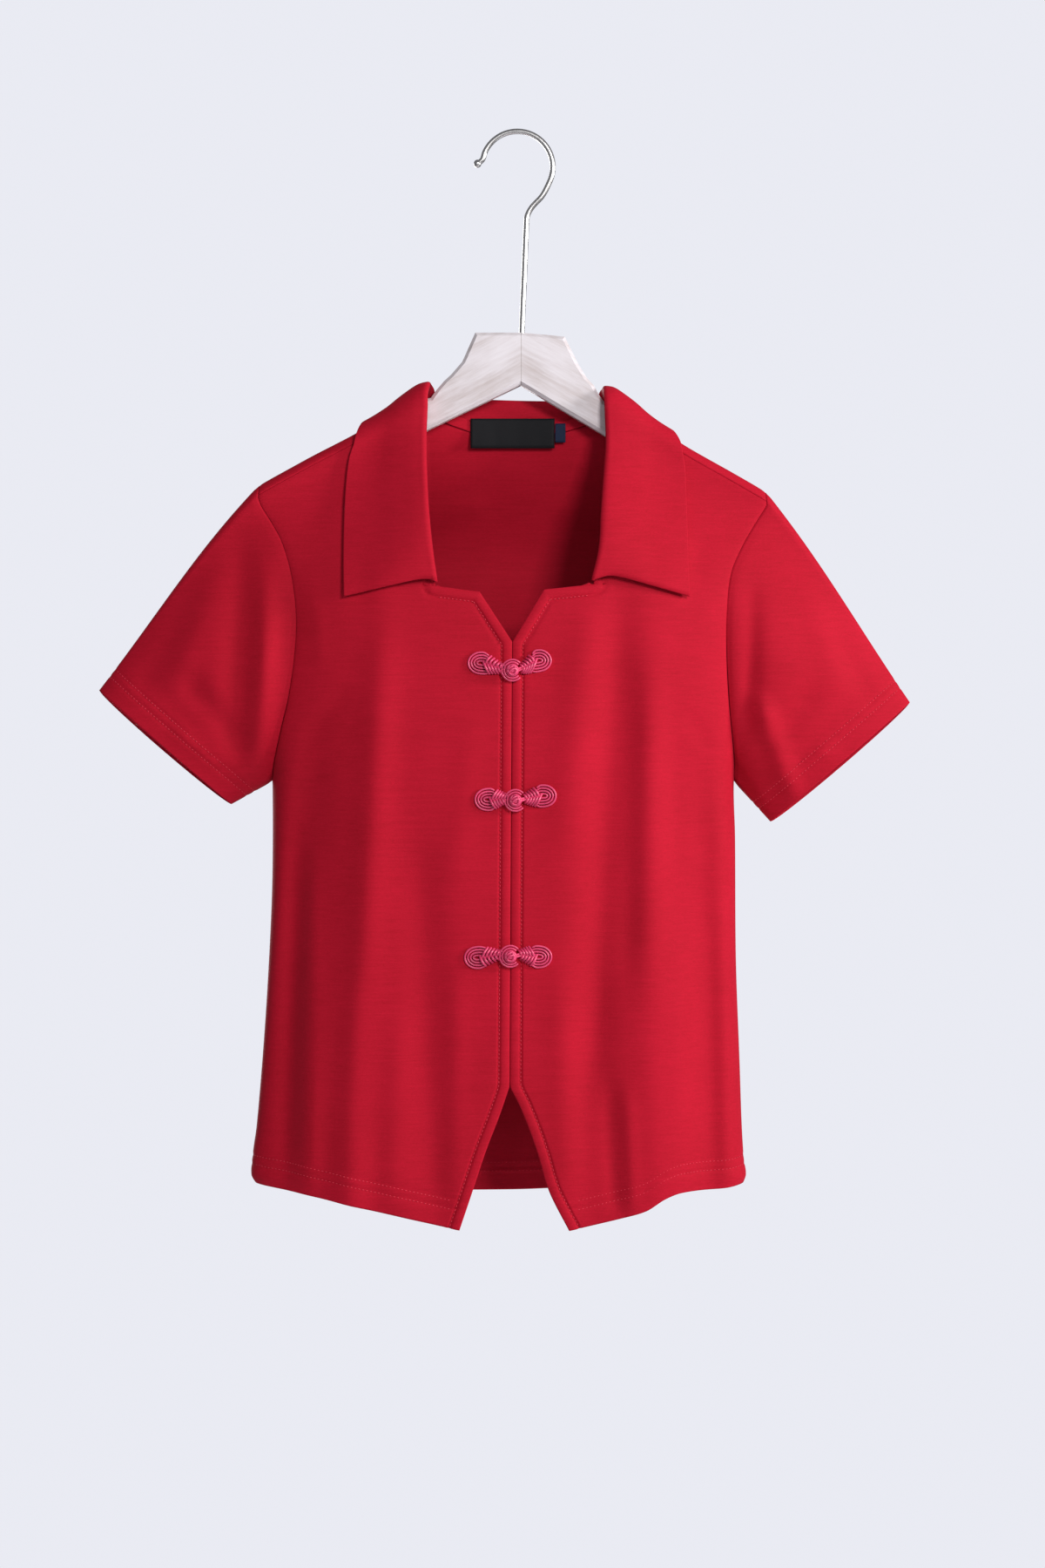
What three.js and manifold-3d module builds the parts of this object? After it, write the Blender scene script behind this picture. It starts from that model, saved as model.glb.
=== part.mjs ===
// A short-sleeved knit top with a turned-down collar and three frog fasteners, on a wooden hanger.
// Millimetres, +Z up, the wearer's front towards -Y. The origin is the inside of the hook's crown,
// where the rail carries it. Every cloth piece is a thin closed wall made from the surface that the
// garment hangs in: a flat tube of cloth that closes over the hanger's arms at the shoulders.

import * as THREE from 'three';
import { mergeVertices } from 'three/addons/utils/BufferGeometryUtils.js';
import Module from 'manifold-3d';

const wasm = await Module();
wasm.setup();

// Driving dimensions
const CLOTH_WALL = 1.2;
const COLLAR_WALL = 2.2;
const SEAM_GAP = 0.3;
const SHOULDER_ROLL = 9;
const SEAM_ANGLE = -80;
const BODY_DEPTH_POWER = 2.5;
const SHOULDER_DROP_LENGTH = 110;
const SIDE_CLOSING_LENGTH = 110;
const NECK_SEAM_OFFSET = 2.6;
const BACK_NECK_Z = -207;
const BACK_HEM_Z = -732;
const ARMPIT_Z = -445;

const WIRE_DIAMETER = 3.8;
const HOOK_RADIUS = 24.5;
const HOOK_CENTRE_Z = -22.6;
const HOOK_TIP_BALL = 2.6;
const BOARD_THICKNESS = 12;
const BOARD_BEVEL = 2.2;
const BOARD_BELOW_RIDGE = 3.2;
const SOCKET_DEPTH = 14;

const CORD_DIAMETER = 2;
const KNOT_DIAMETER = 9;

const RED = 0xb3182b;
const PINK = 0xd84068;
const WOOD = 0xe2dbe0;
const STEEL = 0xc9c7c3;
const BLACK = 0x151518;
const NAVY = 0x16213f;

// Outlines of the left (-X) and right (+X) halves, as seen from the front
const SIDE = {
  left: {
    sign: -1,
    shoulderRidge: [
      { x: -190, z: -247.5 }, { x: -178.5, z: -242.1 }, { x: -161.6, z: -232.9 },
      { x: -141.5, z: -221.9 }, { x: -114.6, z: -208 }, { x: -102, z: -200.8 },
      { x: -90, z: -194 }, { x: -78, z: -187.3 }, { x: -62, z: -178.5 },
    ],
    sideSeam: [
      { z: -722, x: -180 }, { z: -716, x: -183 }, { z: -700, x: -182 }, { z: -682, x: -179.5 },
      { z: -623, x: -174.5 }, { z: -559, x: -170.5 }, { z: -508, x: -168.6 },
      { z: -445, x: -168.6 }, { z: -410, x: -170 }, { z: -360, x: -168 }, { z: -332, x: -168 },
      { z: -304, x: -172 }, { z: -282, x: -182 }, { z: -257, x: -202 }, { z: -235, x: -215 },
    ],
    armhole: [
      { z: -445, x: -168.6 }, { z: -432, x: -166.8 }, { z: -410, x: -161.5 }, { z: -390, x: -156.5 },
      { z: -360, x: -152 }, { z: -332, x: -151 }, { z: -304, x: -154.4 }, { z: -282, x: -161 },
      { z: -269, x: -168 }, { z: -257, x: -175.5 }, { z: -249, x: -178.5 },
    ],
    shoulderPointX: -179,
    neckRoll: [
      { z: -318, x: -53 }, { z: -312, x: -53.6 }, { z: -278, x: -58.2 }, { z: -243, x: -61 },
      { z: -207, x: -62 }, { z: -184, x: -61 }, { z: -170, x: -61 },
    ],
    ventEdge: [
      { z: -749.2, x: -38.9 }, { z: -722.7, x: -30 }, { z: -695.6, x: -21 },
      { z: -671, x: -11.6 }, { z: -652.3, x: -5.2 },
    ],
    hemLift: [{ x: -181, lift: 0 }, { x: -146, lift: 2 }, { x: -109, lift: 1.7 }, { x: -39, lift: 0 }],
    tip: { x: -38.9, z: -749.2 },
    neckCorner: { x: -25.2, z: -317.8 },
    collarEnd: { x: -55.5, z: -313.8 },
    sleeve: {
      tip: { x: -287.6, z: -383.3 }, inner: { x: -197, z: -461 },
      halfThickness: 17, headLift: 5, puff: 5, backDrop: 4,
    },
    collar: [
      { rollZ: -311, edge: { x: -117, z: -320.5 }, rollOut: 4.6, edgeOut: 4.2 },
      { rollZ: -288, edge: { x: -117.7, z: -297 }, rollOut: 5.4, edgeOut: 3.4 },
      { rollZ: -262, edge: { x: -117.6, z: -270 }, rollOut: 5.8, edgeOut: 2.8 },
      { rollZ: -236, edge: { x: -117, z: -245 }, rollOut: 6.2, edgeOut: 2.6 },
      { rollZ: -212, edge: { x: -115.2, z: -225 }, rollOut: 6.6, edgeOut: 2.6 },
      { rollZ: -193, edge: { x: -110.6, z: -212 }, rollOut: 7, edgeOut: 2.8 },
    ],
    collarRidge: { rollX: -60.6, rollOut: 7.4, edgeX: -103.2, edgeOut: 3 },
  },
  right: {
    sign: 1,
    shoulderRidge: [
      { x: 62, z: -181.5 }, { x: 79.3, z: -191.5 }, { x: 91.9, z: -199.6 }, { x: 103.4, z: -206.8 },
      { x: 118.6, z: -216.4 }, { x: 146.8, z: -232.3 }, { x: 169.7, z: -245.5 },
      { x: 178.1, z: -250.7 }, { x: 188, z: -257 },
    ],
    sideSeam: [
      { z: -722, x: 155.5 }, { z: -716, x: 157.4 }, { z: -704, x: 156 }, { z: -681, x: 154.6 },
      { z: -640, x: 153.2 }, { z: -568, x: 150.6 }, { z: -484, x: 150 }, { z: -445, x: 149.2 },
      { z: -410, x: 153 }, { z: -360, x: 157 }, { z: -332, x: 160 }, { z: -304, x: 165 },
      { z: -285, x: 174 }, { z: -259, x: 196 }, { z: -240, x: 208 },
    ],
    armhole: [
      { z: -445, x: 149.2 }, { z: -433, x: 149.4 }, { z: -421, x: 148.2 }, { z: -393, x: 145 },
      { z: -360, x: 143 }, { z: -332.5, x: 143 }, { z: -304.7, x: 145.8 }, { z: -285.6, x: 153.6 },
      { z: -270, x: 162.5 }, { z: -259, x: 169.5 }, { z: -254, x: 172 },
    ],
    shoulderPointX: 172.5,
    neckRoll: [
      { z: -318, x: 48.6 }, { z: -310, x: 50 }, { z: -297, x: 54 }, { z: -261.5, x: 56.8 },
      { z: -233.4, x: 59 }, { z: -211, x: 60.5 }, { z: -188.6, x: 59.6 }, { z: -172, x: 59.6 },
    ],
    ventEdge: [
      { z: -749.5, x: 35 }, { z: -722.7, x: 21.4 }, { z: -695.6, x: 13.3 },
      { z: -668.5, x: 3.2 }, { z: -652.3, x: -4.8 },
    ],
    hemLift: [
      { x: 35, lift: 0 }, { x: 71, lift: 0 }, { x: 87.6, lift: 1 }, { x: 100, lift: 5.6 },
      { x: 112, lift: 6.6 }, { x: 143, lift: 1 }, { x: 156, lift: 0 },
    ],
    tip: { x: 35, z: -749.5 },
    neckCorner: { x: 17.9, z: -316.3 },
    collarEnd: { x: 51.6, z: -312.6 },
    sleeve: {
      tip: { x: 270, z: -391.6 }, inner: { x: 174.6, z: -473 },
      halfThickness: 18, headLift: 4, puff: 5, backDrop: 4,
    },
    collar: [
      { rollZ: -310, edge: { x: 116.5, z: -320.5 }, rollOut: 4.6, edgeOut: 4.2 },
      { rollZ: -288, edge: { x: 116, z: -297 }, rollOut: 5.4, edgeOut: 3.4 },
      { rollZ: -262, edge: { x: 115.7, z: -271 }, rollOut: 5.8, edgeOut: 2.8 },
      { rollZ: -238, edge: { x: 115.2, z: -247 }, rollOut: 6.2, edgeOut: 2.6 },
      { rollZ: -215, edge: { x: 114.6, z: -229 }, rollOut: 6.6, edgeOut: 2.6 },
      { rollZ: -197, edge: { x: 111.6, z: -216.5 }, rollOut: 7, edgeOut: 2.8 },
    ],
    collarRidge: { rollX: 59.4, rollOut: 7.4, edgeX: 104.4, edgeOut: 3 },
  },
};

// Depth of the hanging body from the mid plane to the front and to the back
const BODY_DEPTH = [
  { z: -750, front: 44, back: 42 }, { z: -650, front: 46, back: 44 }, { z: -550, front: 48, back: 45 },
  { z: -450, front: 49, back: 46 }, { z: -350, front: 46, back: 45 }, { z: -300, front: 43, back: 43 },
  { z: -200, front: 40, back: 40 },
];

// The fronts meet on this line, edge to edge
const CENTRE_FRONT = [{ z: -652.3, x: -5 }, { z: -500, x: -4.2 }, { z: -351.5, x: -3.3 }];

// Largest folds: soft ridges (height above 0) and troughs (below 0) that run down the cloth
const FRONT_FOLDS = [
  { topX: -136, topZ: -405, footX: -168, footZ: -712, halfWidth: 15, height: -8 },
  { topX: -156, topZ: -420, footX: -166, footZ: -560, halfWidth: 10, height: 4 },
  { topX: -90, topZ: -330, footX: -115, footZ: -740, halfWidth: 13, height: 5.5 },
  { topX: -68, topZ: -470, footX: -56, footZ: -720, halfWidth: 15, height: -3.5 },
  { topX: 50, topZ: -325, footX: 34, footZ: -470, halfWidth: 15, height: 3 },
  { topX: 70, topZ: -322, footX: 50, footZ: -640, halfWidth: 13, height: -5 },
  { topX: 88, topZ: -325, footX: 95, footZ: -740, halfWidth: 20, height: 5.5 },
  { topX: 121, topZ: -410, footX: 130, footZ: -730, halfWidth: 14, height: -7 },
  { topX: 141, topZ: -420, footX: 144, footZ: -690, halfWidth: 9, height: 3 },
];
const BACK_FOLDS = [
  { topX: -128, topZ: -390, footX: -146, footZ: -715, halfWidth: 17, height: -7 },
  { topX: -84, topZ: -340, footX: -100, footZ: -725, halfWidth: 18, height: 5 },
  { topX: -30, topZ: -420, footX: -42, footZ: -730, halfWidth: 20, height: -4 },
  { topX: 34, topZ: -360, footX: 28, footZ: -730, halfWidth: 20, height: 4.5 },
  { topX: 82, topZ: -330, footX: 74, footZ: -728, halfWidth: 16, height: -5.5 },
  { topX: 116, topZ: -400, footX: 124, footZ: -720, halfWidth: 15, height: 4.5 },
];
const SLEEVE_FOLDS = [
  { topX: -188, topZ: -262, footX: -190, footZ: -420, halfWidth: 12, height: -4 },
  { topX: -166, topZ: -290, footX: -176, footZ: -430, halfWidth: 9, height: 3.5 },
  { topX: 158, topZ: -300, footX: 158, footZ: -400, halfWidth: 8, height: -3 },
  { topX: 162, topZ: -385, footX: 186, footZ: -450, halfWidth: 9, height: 4 },
];

// Rows of a front panel between its corners, from the hem up
const FRONT_SPANS = [
  { from: 'tip', to: 'ventTop', rows: 5, sideTop: -652 },
  { from: 'ventTop', to: 'armpitLevel', rows: 9, sideTop: ARMPIT_Z },
  { from: 'armpitLevel', to: 'notch', rows: 4, sideTop: -352 },
  { from: 'notch', to: 'neckCorner', rows: 2, sideTop: -324 },
  { from: 'neckCorner', to: 'collarEnd', rows: 2, sideTop: -300 },
  { from: 'collarEnd', to: 'neckPoint', rows: 6, sideTop: null },
];
const FRONT_COLUMNS = 13;
const BACK_SIDE_COLUMNS = 6;
const BACK_NECK_COLUMNS = 8;
const SLEEVE_RINGS = 6;
const ROLL_ANGLES = [60, 30, 0, -30, -60, SEAM_ANGLE + 1];

const radians = THREE.MathUtils.degToRad;
const lerp = THREE.MathUtils.lerp;
const clamp = THREE.MathUtils.clamp;
const smooth = (t) => {
  const u = clamp(t, 0, 1);
  return u * u * (3 - 2 * u);
};

// Reads column `name` of a table at `value` of column `key`, on a curve through its rows
function read(rows, key, name, value) {
  const table = [...rows].sort((a, b) => a[key] - b[key]);
  const last = table.length - 1;
  const at = clamp(value, table[0][key], table[last][key]);
  let i = 0;
  while (i < last - 1 && at > table[i + 1][key]) i += 1;
  const slope = (j) => {
    const low = table[Math.max(j - 1, 0)];
    const high = table[Math.min(j + 1, last)];
    return (high[name] - low[name]) / (high[key] - low[key]);
  };
  const span = table[i + 1][key] - table[i][key];
  const t = (at - table[i][key]) / span;
  const t2 = t * t;
  const t3 = t2 * t;
  return (2 * t3 - 3 * t2 + 1) * table[i][name] + (t3 - 2 * t2 + t) * span * slope(i)
    + (3 * t2 - 2 * t3) * table[i + 1][name] + (t3 - t2) * span * slope(i + 1);
}

// The shoulder's top line over the whole width; level across the neck opening
function ridgeZ(x) {
  if (x <= -62) return read(SIDE.left.shoulderRidge, 'x', 'z', x);
  if (x >= 62) return read(SIDE.right.shoulderRidge, 'x', 'z', x);
  return lerp(-178.5, -181.5, (x + 62) / 124);
}

function foldHeight(folds, x, z) {
  let sum = 0;
  for (const fold of folds) {
    const along = (z - fold.topZ) / (fold.footZ - fold.topZ);
    if (along <= -0.12) continue;
    const centre = lerp(fold.topX, fold.footX, clamp(along, 0, 1.1));
    const across = (x - centre) / fold.halfWidth;
    const fade = smooth((along + 0.12) / 0.4) * (1 - 0.75 * smooth((along - 0.9) / 0.35));
    sum += fold.height * fade * Math.exp(-across * across);
  }
  return sum;
}

// Half depth of the body at a point of its front or back, 0 on the side seams
function halfDepth(x, z, face) {
  const left = read(SIDE.left.sideSeam, 'z', 'x', z);
  const right = read(SIDE.right.sideSeam, 'z', 'x', z);
  const across = clamp(Math.abs((2 * x - left - right) / (right - left)), 0, 1);
  const drop = Math.max(ridgeZ(x) - z - SHOULDER_ROLL, 0);
  const close = (1 - across ** BODY_DEPTH_POWER) ** (1 / BODY_DEPTH_POWER);
  const closing = lerp(1, close, smooth(drop / SIDE_CLOSING_LENGTH));
  const depth = read(BODY_DEPTH, 'z', face, z);
  const hang = SHOULDER_ROLL + (depth - SHOULDER_ROLL) * smooth(drop / SHOULDER_DROP_LENGTH);
  const folds = face === 'front' ? FRONT_FOLDS : BACK_FOLDS;
  return closing * (hang + foldHeight(folds, x, z) * smooth(drop / 60));
}

const frontY = (x, z) => -SEAM_GAP / 2 - halfDepth(x, z, 'front');
const backY = (x, z) => SEAM_GAP / 2 + halfDepth(x, z, 'back');

// A point on the rounded top of the shoulder: 0 degrees on top, negative in front
function rollPoint(x, degrees) {
  const a = radians(degrees);
  return new THREE.Vector3(x, SHOULDER_ROLL * Math.sin(a), ridgeZ(x) - SHOULDER_ROLL * (1 - Math.cos(a)));
}

function rollNormal(x, degrees) {
  const a = radians(degrees);
  const slope = (ridgeZ(x + 1) - ridgeZ(x - 1)) / 2;
  return new THREE.Vector3(-slope * Math.cos(a), Math.sin(a), Math.cos(a)).normalize();
}

// A point at `out` from the body's surface, by its distance over the cloth from the ridge
function overBody(x, along, out) {
  const quarter = SHOULDER_ROLL * Math.PI / 2;
  if (Math.abs(along) <= quarter) {
    const degrees = THREE.MathUtils.radToDeg(along / SHOULDER_ROLL);
    return rollPoint(x, degrees).addScaledVector(rollNormal(x, degrees), out);
  }
  const z = ridgeZ(x) - SHOULDER_ROLL - (Math.abs(along) - quarter);
  const y = along < 0 ? frontY(x, z) - out : backY(x, z) + out;
  return new THREE.Vector3(x, y, z);
}

const alongFront = (x, z) => -(ridgeZ(x) - z - SHOULDER_ROLL + SHOULDER_ROLL * Math.PI / 2);

// Normals of a grid of points, turned to the side that `outward` names at each point
function gridNormals(grid, outward, loop = false) {
  const rows = grid.length;
  const columns = grid[0].length;
  return grid.map((row, r) => row.map((point, c) => {
    const before = loop ? row[(c + columns - 1) % columns] : row[Math.max(c - 1, 0)];
    const after = loop ? row[(c + 1) % columns] : row[Math.min(c + 1, columns - 1)];
    const below = grid[Math.max(r - 1, 0)][c];
    const above = grid[Math.min(r + 1, rows - 1)][c];
    const across = new THREE.Vector3().subVectors(after, before);
    const up = new THREE.Vector3().subVectors(above, below);
    const normal = across.cross(up).normalize();
    return normal.dot(outward(point, r, c)) < 0 ? normal.negate() : normal;
  }));
}

// A closed wall between a grid of outer points and the same points moved in by `wall`
function wallGeometry(grid, normals, wall, { loop = false, has = () => true } = {}) {
  const rows = grid.length;
  const columns = grid[0].length;
  const outer = grid.flat();
  const inner = outer.map((point, i) => point.clone().addScaledVector(normals.flat()[i], -wall));
  const cells = loop ? columns : columns - 1;
  const index = [];
  const edges = new Map();
  const count = rows * columns;
  for (let r = 0; r < rows - 1; r += 1) {
    for (let c = 0; c < cells; c += 1) {
      if (!has(r, c)) continue;
      const next = (c + 1) % columns;
      const quad = [r * columns + c, r * columns + next, (r + 1) * columns + next, (r + 1) * columns + c];
      index.push(quad[0], quad[1], quad[2], quad[0], quad[2], quad[3]);
      index.push(...[quad[0], quad[2], quad[1], quad[0], quad[3], quad[2]].map((i) => i + count));
      quad.forEach((from, k) => {
        const to = quad[(k + 1) % 4];
        if (edges.has(`${to} ${from}`)) edges.delete(`${to} ${from}`);
        else edges.set(`${from} ${to}`, [from, to]);
      });
    }
  }
  for (const [from, to] of edges.values()) {
    index.push(to, from, from + count, to, from + count, to + count);
  }
  const geometry = new THREE.BufferGeometry();
  const position = [...outer, ...inner].flatMap((point) => [point.x, point.y, point.z]);
  geometry.setAttribute('position', new THREE.Float32BufferAttribute(position, 3));
  geometry.setIndex(index);
  return facingOut(onlyUsed(geometry));
}

function onlyUsed(geometry) {
  const loose = geometry.toNonIndexed();
  return mergeVertices(loose, 1e-4);
}

function facingOut(geometry) {
  const index = geometry.index.array;
  const position = geometry.getAttribute('position');
  const corner = [0, 1, 2].map(() => new THREE.Vector3());
  let volume = 0;
  for (let i = 0; i < index.length; i += 3) {
    corner.forEach((point, k) => point.fromBufferAttribute(position, index[i + k]));
    volume += corner[0].dot(corner[1].clone().cross(corner[2]));
  }
  if (volume < 0) {
    for (let i = 0; i < index.length; i += 3) [index[i], index[i + 1]] = [index[i + 1], index[i]];
  }
  return geometry;
}

function solidOf(geometry) {
  const bare = geometry.clone();
  bare.deleteAttribute('normal');
  bare.deleteAttribute('uv');
  const merged = mergeVertices(bare, 1e-4);
  const vertProperties = new Float32Array(merged.getAttribute('position').array);
  const triVerts = new Uint32Array(merged.index.array);
  return new wasm.Manifold(new wasm.Mesh({ numProp: 3, vertProperties, triVerts }));
}

function geometryOf(solid) {
  const mesh = solid.getMesh();
  const geometry = new THREE.BufferGeometry();
  geometry.setAttribute('position', new THREE.BufferAttribute(new Float32Array(mesh.vertProperties), 3));
  geometry.setIndex(new THREE.BufferAttribute(new Uint32Array(mesh.triVerts), 1));
  return geometry;
}

const joined = (solids) => solids.reduce((whole, solid) => whole.add(solid));

function meshOf(name, geometry, color, roughness = 0.85, metalness = 0) {
  geometry.computeVertexNormals();
  const mesh = new THREE.Mesh(geometry, new THREE.MeshStandardMaterial({ color, roughness, metalness }));
  mesh.name = name;
  return mesh;
}

// Front panels

function frontCorners(side) {
  const neckX = read(side.neckRoll, 'z', 'x', -190) + side.sign * NECK_SEAM_OFFSET;
  return {
    tip: side.tip,
    ventTop: { x: read(CENTRE_FRONT, 'z', 'x', -652.3), z: -652.3 },
    armpitLevel: { x: read(CENTRE_FRONT, 'z', 'x', -440), z: -440 },
    notch: { x: read(CENTRE_FRONT, 'z', 'x', -351.5), z: -351.5 },
    neckCorner: side.neckCorner,
    collarEnd: side.collarEnd,
    neckPoint: { x: neckX, z: ridgeZ(neckX) - SHOULDER_ROLL },
  };
}

function innerX(side, span, z, straightX) {
  if (span.from === 'tip') return read(side.ventEdge, 'z', 'x', z);
  if (span.to === 'armpitLevel' || span.to === 'notch') return read(CENTRE_FRONT, 'z', 'x', z);
  if (span.from === 'collarEnd') {
    const neck = read(side.neckRoll, 'z', 'x', z) + side.sign * NECK_SEAM_OFFSET;
    const start = smooth((z - side.collarEnd.z) / 12);
    return lerp(side.collarEnd.x, neck, start);
  }
  return straightX;
}

// Each row is its inner point, the height of its outer point, and how far it follows the shoulder
function frontRows(side) {
  const corners = frontCorners(side);
  const topOuterZ = ridgeZ(side.shoulderPointX) - SHOULDER_ROLL;
  const rows = [];
  let outerFrom = -721;
  for (const span of FRONT_SPANS) {
    const outerTo = span.sideTop ?? topOuterZ;
    const first = rows.length === 0 ? 0 : 1;
    for (let k = first; k <= span.rows; k += 1) {
      const t = k / span.rows;
      const z = lerp(corners[span.from].z, corners[span.to].z, t);
      const straightX = lerp(corners[span.from].x, corners[span.to].x, t);
      rows.push({
        x: innerX(side, span, z, straightX) + side.sign * SEAM_GAP / 2,
        z,
        outerZ: lerp(outerFrom, outerTo, t),
        follow: span.from === 'collarEnd' ? smooth(t) : 0,
        hem: span.from === 'tip' ? 1 - t : 0,
      });
    }
    outerFrom = outerTo;
  }
  return rows;
}

function outerX(side, z, back = false) {
  if (z <= ARMPIT_Z) return read(side.sideSeam, 'z', 'x', z);
  const x = read(side.armhole, 'z', 'x', z);
  return back ? x + side.sign * 4 * Math.sin(Math.PI * smooth((z - ARMPIT_Z) / 190)) : x;
}

function acrossBody(x, z) {
  const left = read(SIDE.left.sideSeam, 'z', 'x', z);
  const right = read(SIDE.right.sideSeam, 'z', 'x', z);
  return clamp((2 * x - left - right) / (right - left), -1, 1);
}

function frontGrid(side) {
  const grid = frontRows(side).map((row) => {
    const endX = outerX(side, row.outerZ);
    const from = Math.asin(acrossBody(row.x, row.z));
    const to = Math.asin(acrossBody(endX, row.outerZ));
    const points = [];
    for (let c = 0; c <= FRONT_COLUMNS; c += 1) {
      const angle = lerp(from, to, c / FRONT_COLUMNS);
      const t = (Math.sin(angle) - Math.sin(from)) / (Math.sin(to) - Math.sin(from));
      const x = lerp(row.x, endX, t);
      const straight = lerp(row.z, row.outerZ, t);
      const ridge = ridgeZ(x) - lerp(ridgeZ(row.x), ridgeZ(endX), t);
      const lift = row.hem * read(side.hemLift, 'x', 'lift', x);
      const z = straight + row.follow * ridge + lift;
      points.push(new THREE.Vector3(x, frontY(x, z), z));
    }
    return points;
  });
  grid.push(grid.at(-1).map((point) => rollPoint(point.x, SEAM_ANGLE - 1)));
  return grid;
}

// On a side seam the cloth faces straight out to the side, so that both panels meet squarely
function squareSideSeam(grid, normals, column) {
  grid.forEach((row, r) => {
    if (row[column].z <= ARMPIT_Z + 0.01) normals[r][column].setY(0).normalize();
  });
}

function frontPanel(side) {
  const grid = frontGrid(side);
  const normals = gridNormals(grid, () => new THREE.Vector3(side.sign * 0.3, -1, 0));
  squareSideSeam(grid, normals, FRONT_COLUMNS);
  const top = grid.length - 1;
  grid[top].forEach((point, c) => normals[top][c].copy(rollNormal(point.x, SEAM_ANGLE - 1)));
  return { grid, normals, geometry: wallGeometry(grid, normals, CLOTH_WALL) };
}

// The back reaches over the shoulders to seams that lie just in front of the ridge

function backNeckZ(x, neckEnds) {
  const t = clamp(x / (x < 0 ? neckEnds.left : neckEnds.right), 0, 1);
  const end = ridgeZ(x < 0 ? neckEnds.left : neckEnds.right) - SHOULDER_ROLL;
  const columns = BACK_NECK_COLUMNS / 2;
  const column = Math.min(Math.floor(t * columns), columns - 1);
  const rise = lerp((column / columns) ** 3, ((column + 1) / columns) ** 3, t * columns - column);
  return lerp(BACK_NECK_Z, end, rise);
}

function neckEndX(side) {
  return read(side.neckRoll, 'z', 'x', -184) + side.sign * (NECK_SEAM_OFFSET + 0.4);
}

const NECK_ENDS = { left: neckEndX(SIDE.left), right: neckEndX(SIDE.right) };

// Heights of the panels' rows on the side seam and armhole, shared by both panels and the sleeve
const sideLevels = (side) => frontRows(side).map((row) => row.outerZ);

function backPanel() {
  const levels = { left: sideLevels(SIDE.left), right: sideLevels(SIDE.right) };
  const last = levels.left.length - 1;
  const columns = [];
  for (let c = 0; c < BACK_SIDE_COLUMNS; c += 1) columns.push({ part: 'left', t: c / BACK_SIDE_COLUMNS });
  for (let c = 0; c <= BACK_NECK_COLUMNS; c += 1) columns.push({ part: 'neck', t: c / BACK_NECK_COLUMNS });
  for (let c = 1; c <= BACK_SIDE_COLUMNS; c += 1) columns.push({ part: 'right', t: c / BACK_SIDE_COLUMNS });
  const columnX = (column, leftX, rightX, leftZ, rightZ) => {
    if (column.part === 'neck') return lerp(NECK_ENDS.left, NECK_ENDS.right, column.t);
    const left = column.part === 'left';
    const from = Math.asin(acrossBody(left ? leftX : NECK_ENDS.right, left ? leftZ : rightZ));
    const to = Math.asin(acrossBody(left ? NECK_ENDS.left : rightX, left ? leftZ : rightZ));
    const t = (Math.sin(lerp(from, to, column.t)) - Math.sin(from)) / (Math.sin(to) - Math.sin(from));
    return left ? lerp(leftX, NECK_ENDS.left, t) : lerp(NECK_ENDS.right, rightX, t);
  };
  const grid = [];
  for (let r = 0; r <= last; r += 1) {
    const leftZ = levels.left[r];
    const rightZ = levels.right[r];
    const leftX = outerX(SIDE.left, leftZ, true);
    const rightX = outerX(SIDE.right, rightZ, true);
    const up = r / last;
    const follow = smooth((leftZ - ARMPIT_Z) / (levels.left[last] - ARMPIT_Z));
    const hemDrop = (BACK_HEM_Z + 721) * (1 - smooth(up * 3));
    grid.push(columns.map((column) => {
      const x = columnX(column, leftX, rightX, leftZ, rightZ);
      const t = (x - leftX) / (rightX - leftX);
      const level = lerp(leftZ, rightZ, t) + hemDrop * Math.sin(Math.PI * t);
      const top = column.part === 'neck' ? backNeckZ(x, NECK_ENDS) : ridgeZ(x) - SHOULDER_ROLL;
      const topLevel = lerp(levels.left[last], levels.right[last], t);
      const z = level + follow * (top - topLevel);
      return new THREE.Vector3(x, backY(x, z), z);
    }));
  }
  for (const degrees of ROLL_ANGLES) {
    grid.push(grid[last].map((point) => rollPoint(point.x, degrees)));
  }
  const normals = gridNormals(grid, (point, r) => new THREE.Vector3(0, r > last ? 0.2 : 1, r > last ? 1 : 0.2));
  squareSideSeam(grid, normals, 0);
  squareSideSeam(grid, normals, columns.length - 1);
  ROLL_ANGLES.forEach((degrees, k) => {
    grid[last + 1 + k].forEach((point, c) => normals[last + 1 + k][c].copy(rollNormal(point.x, degrees)));
  });
  const firstNeck = BACK_SIDE_COLUMNS;
  const endNeck = BACK_SIDE_COLUMNS + BACK_NECK_COLUMNS;
  grid[last].forEach((point, c) => {
    if (c <= firstNeck || c >= endNeck) normals[last][c].copy(rollNormal(point.x, 90));
    else normals[last][c].set(0, 1, 0.1).normalize();
  });
  const has = (r, c) => r < last || c < firstNeck || c >= endNeck;
  return { grid, normals, last, geometry: wallGeometry(grid, normals, CLOTH_WALL, { has }) };
}

// Sleeves: a flat tube from the armhole's loop to the cuff's loop

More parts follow.
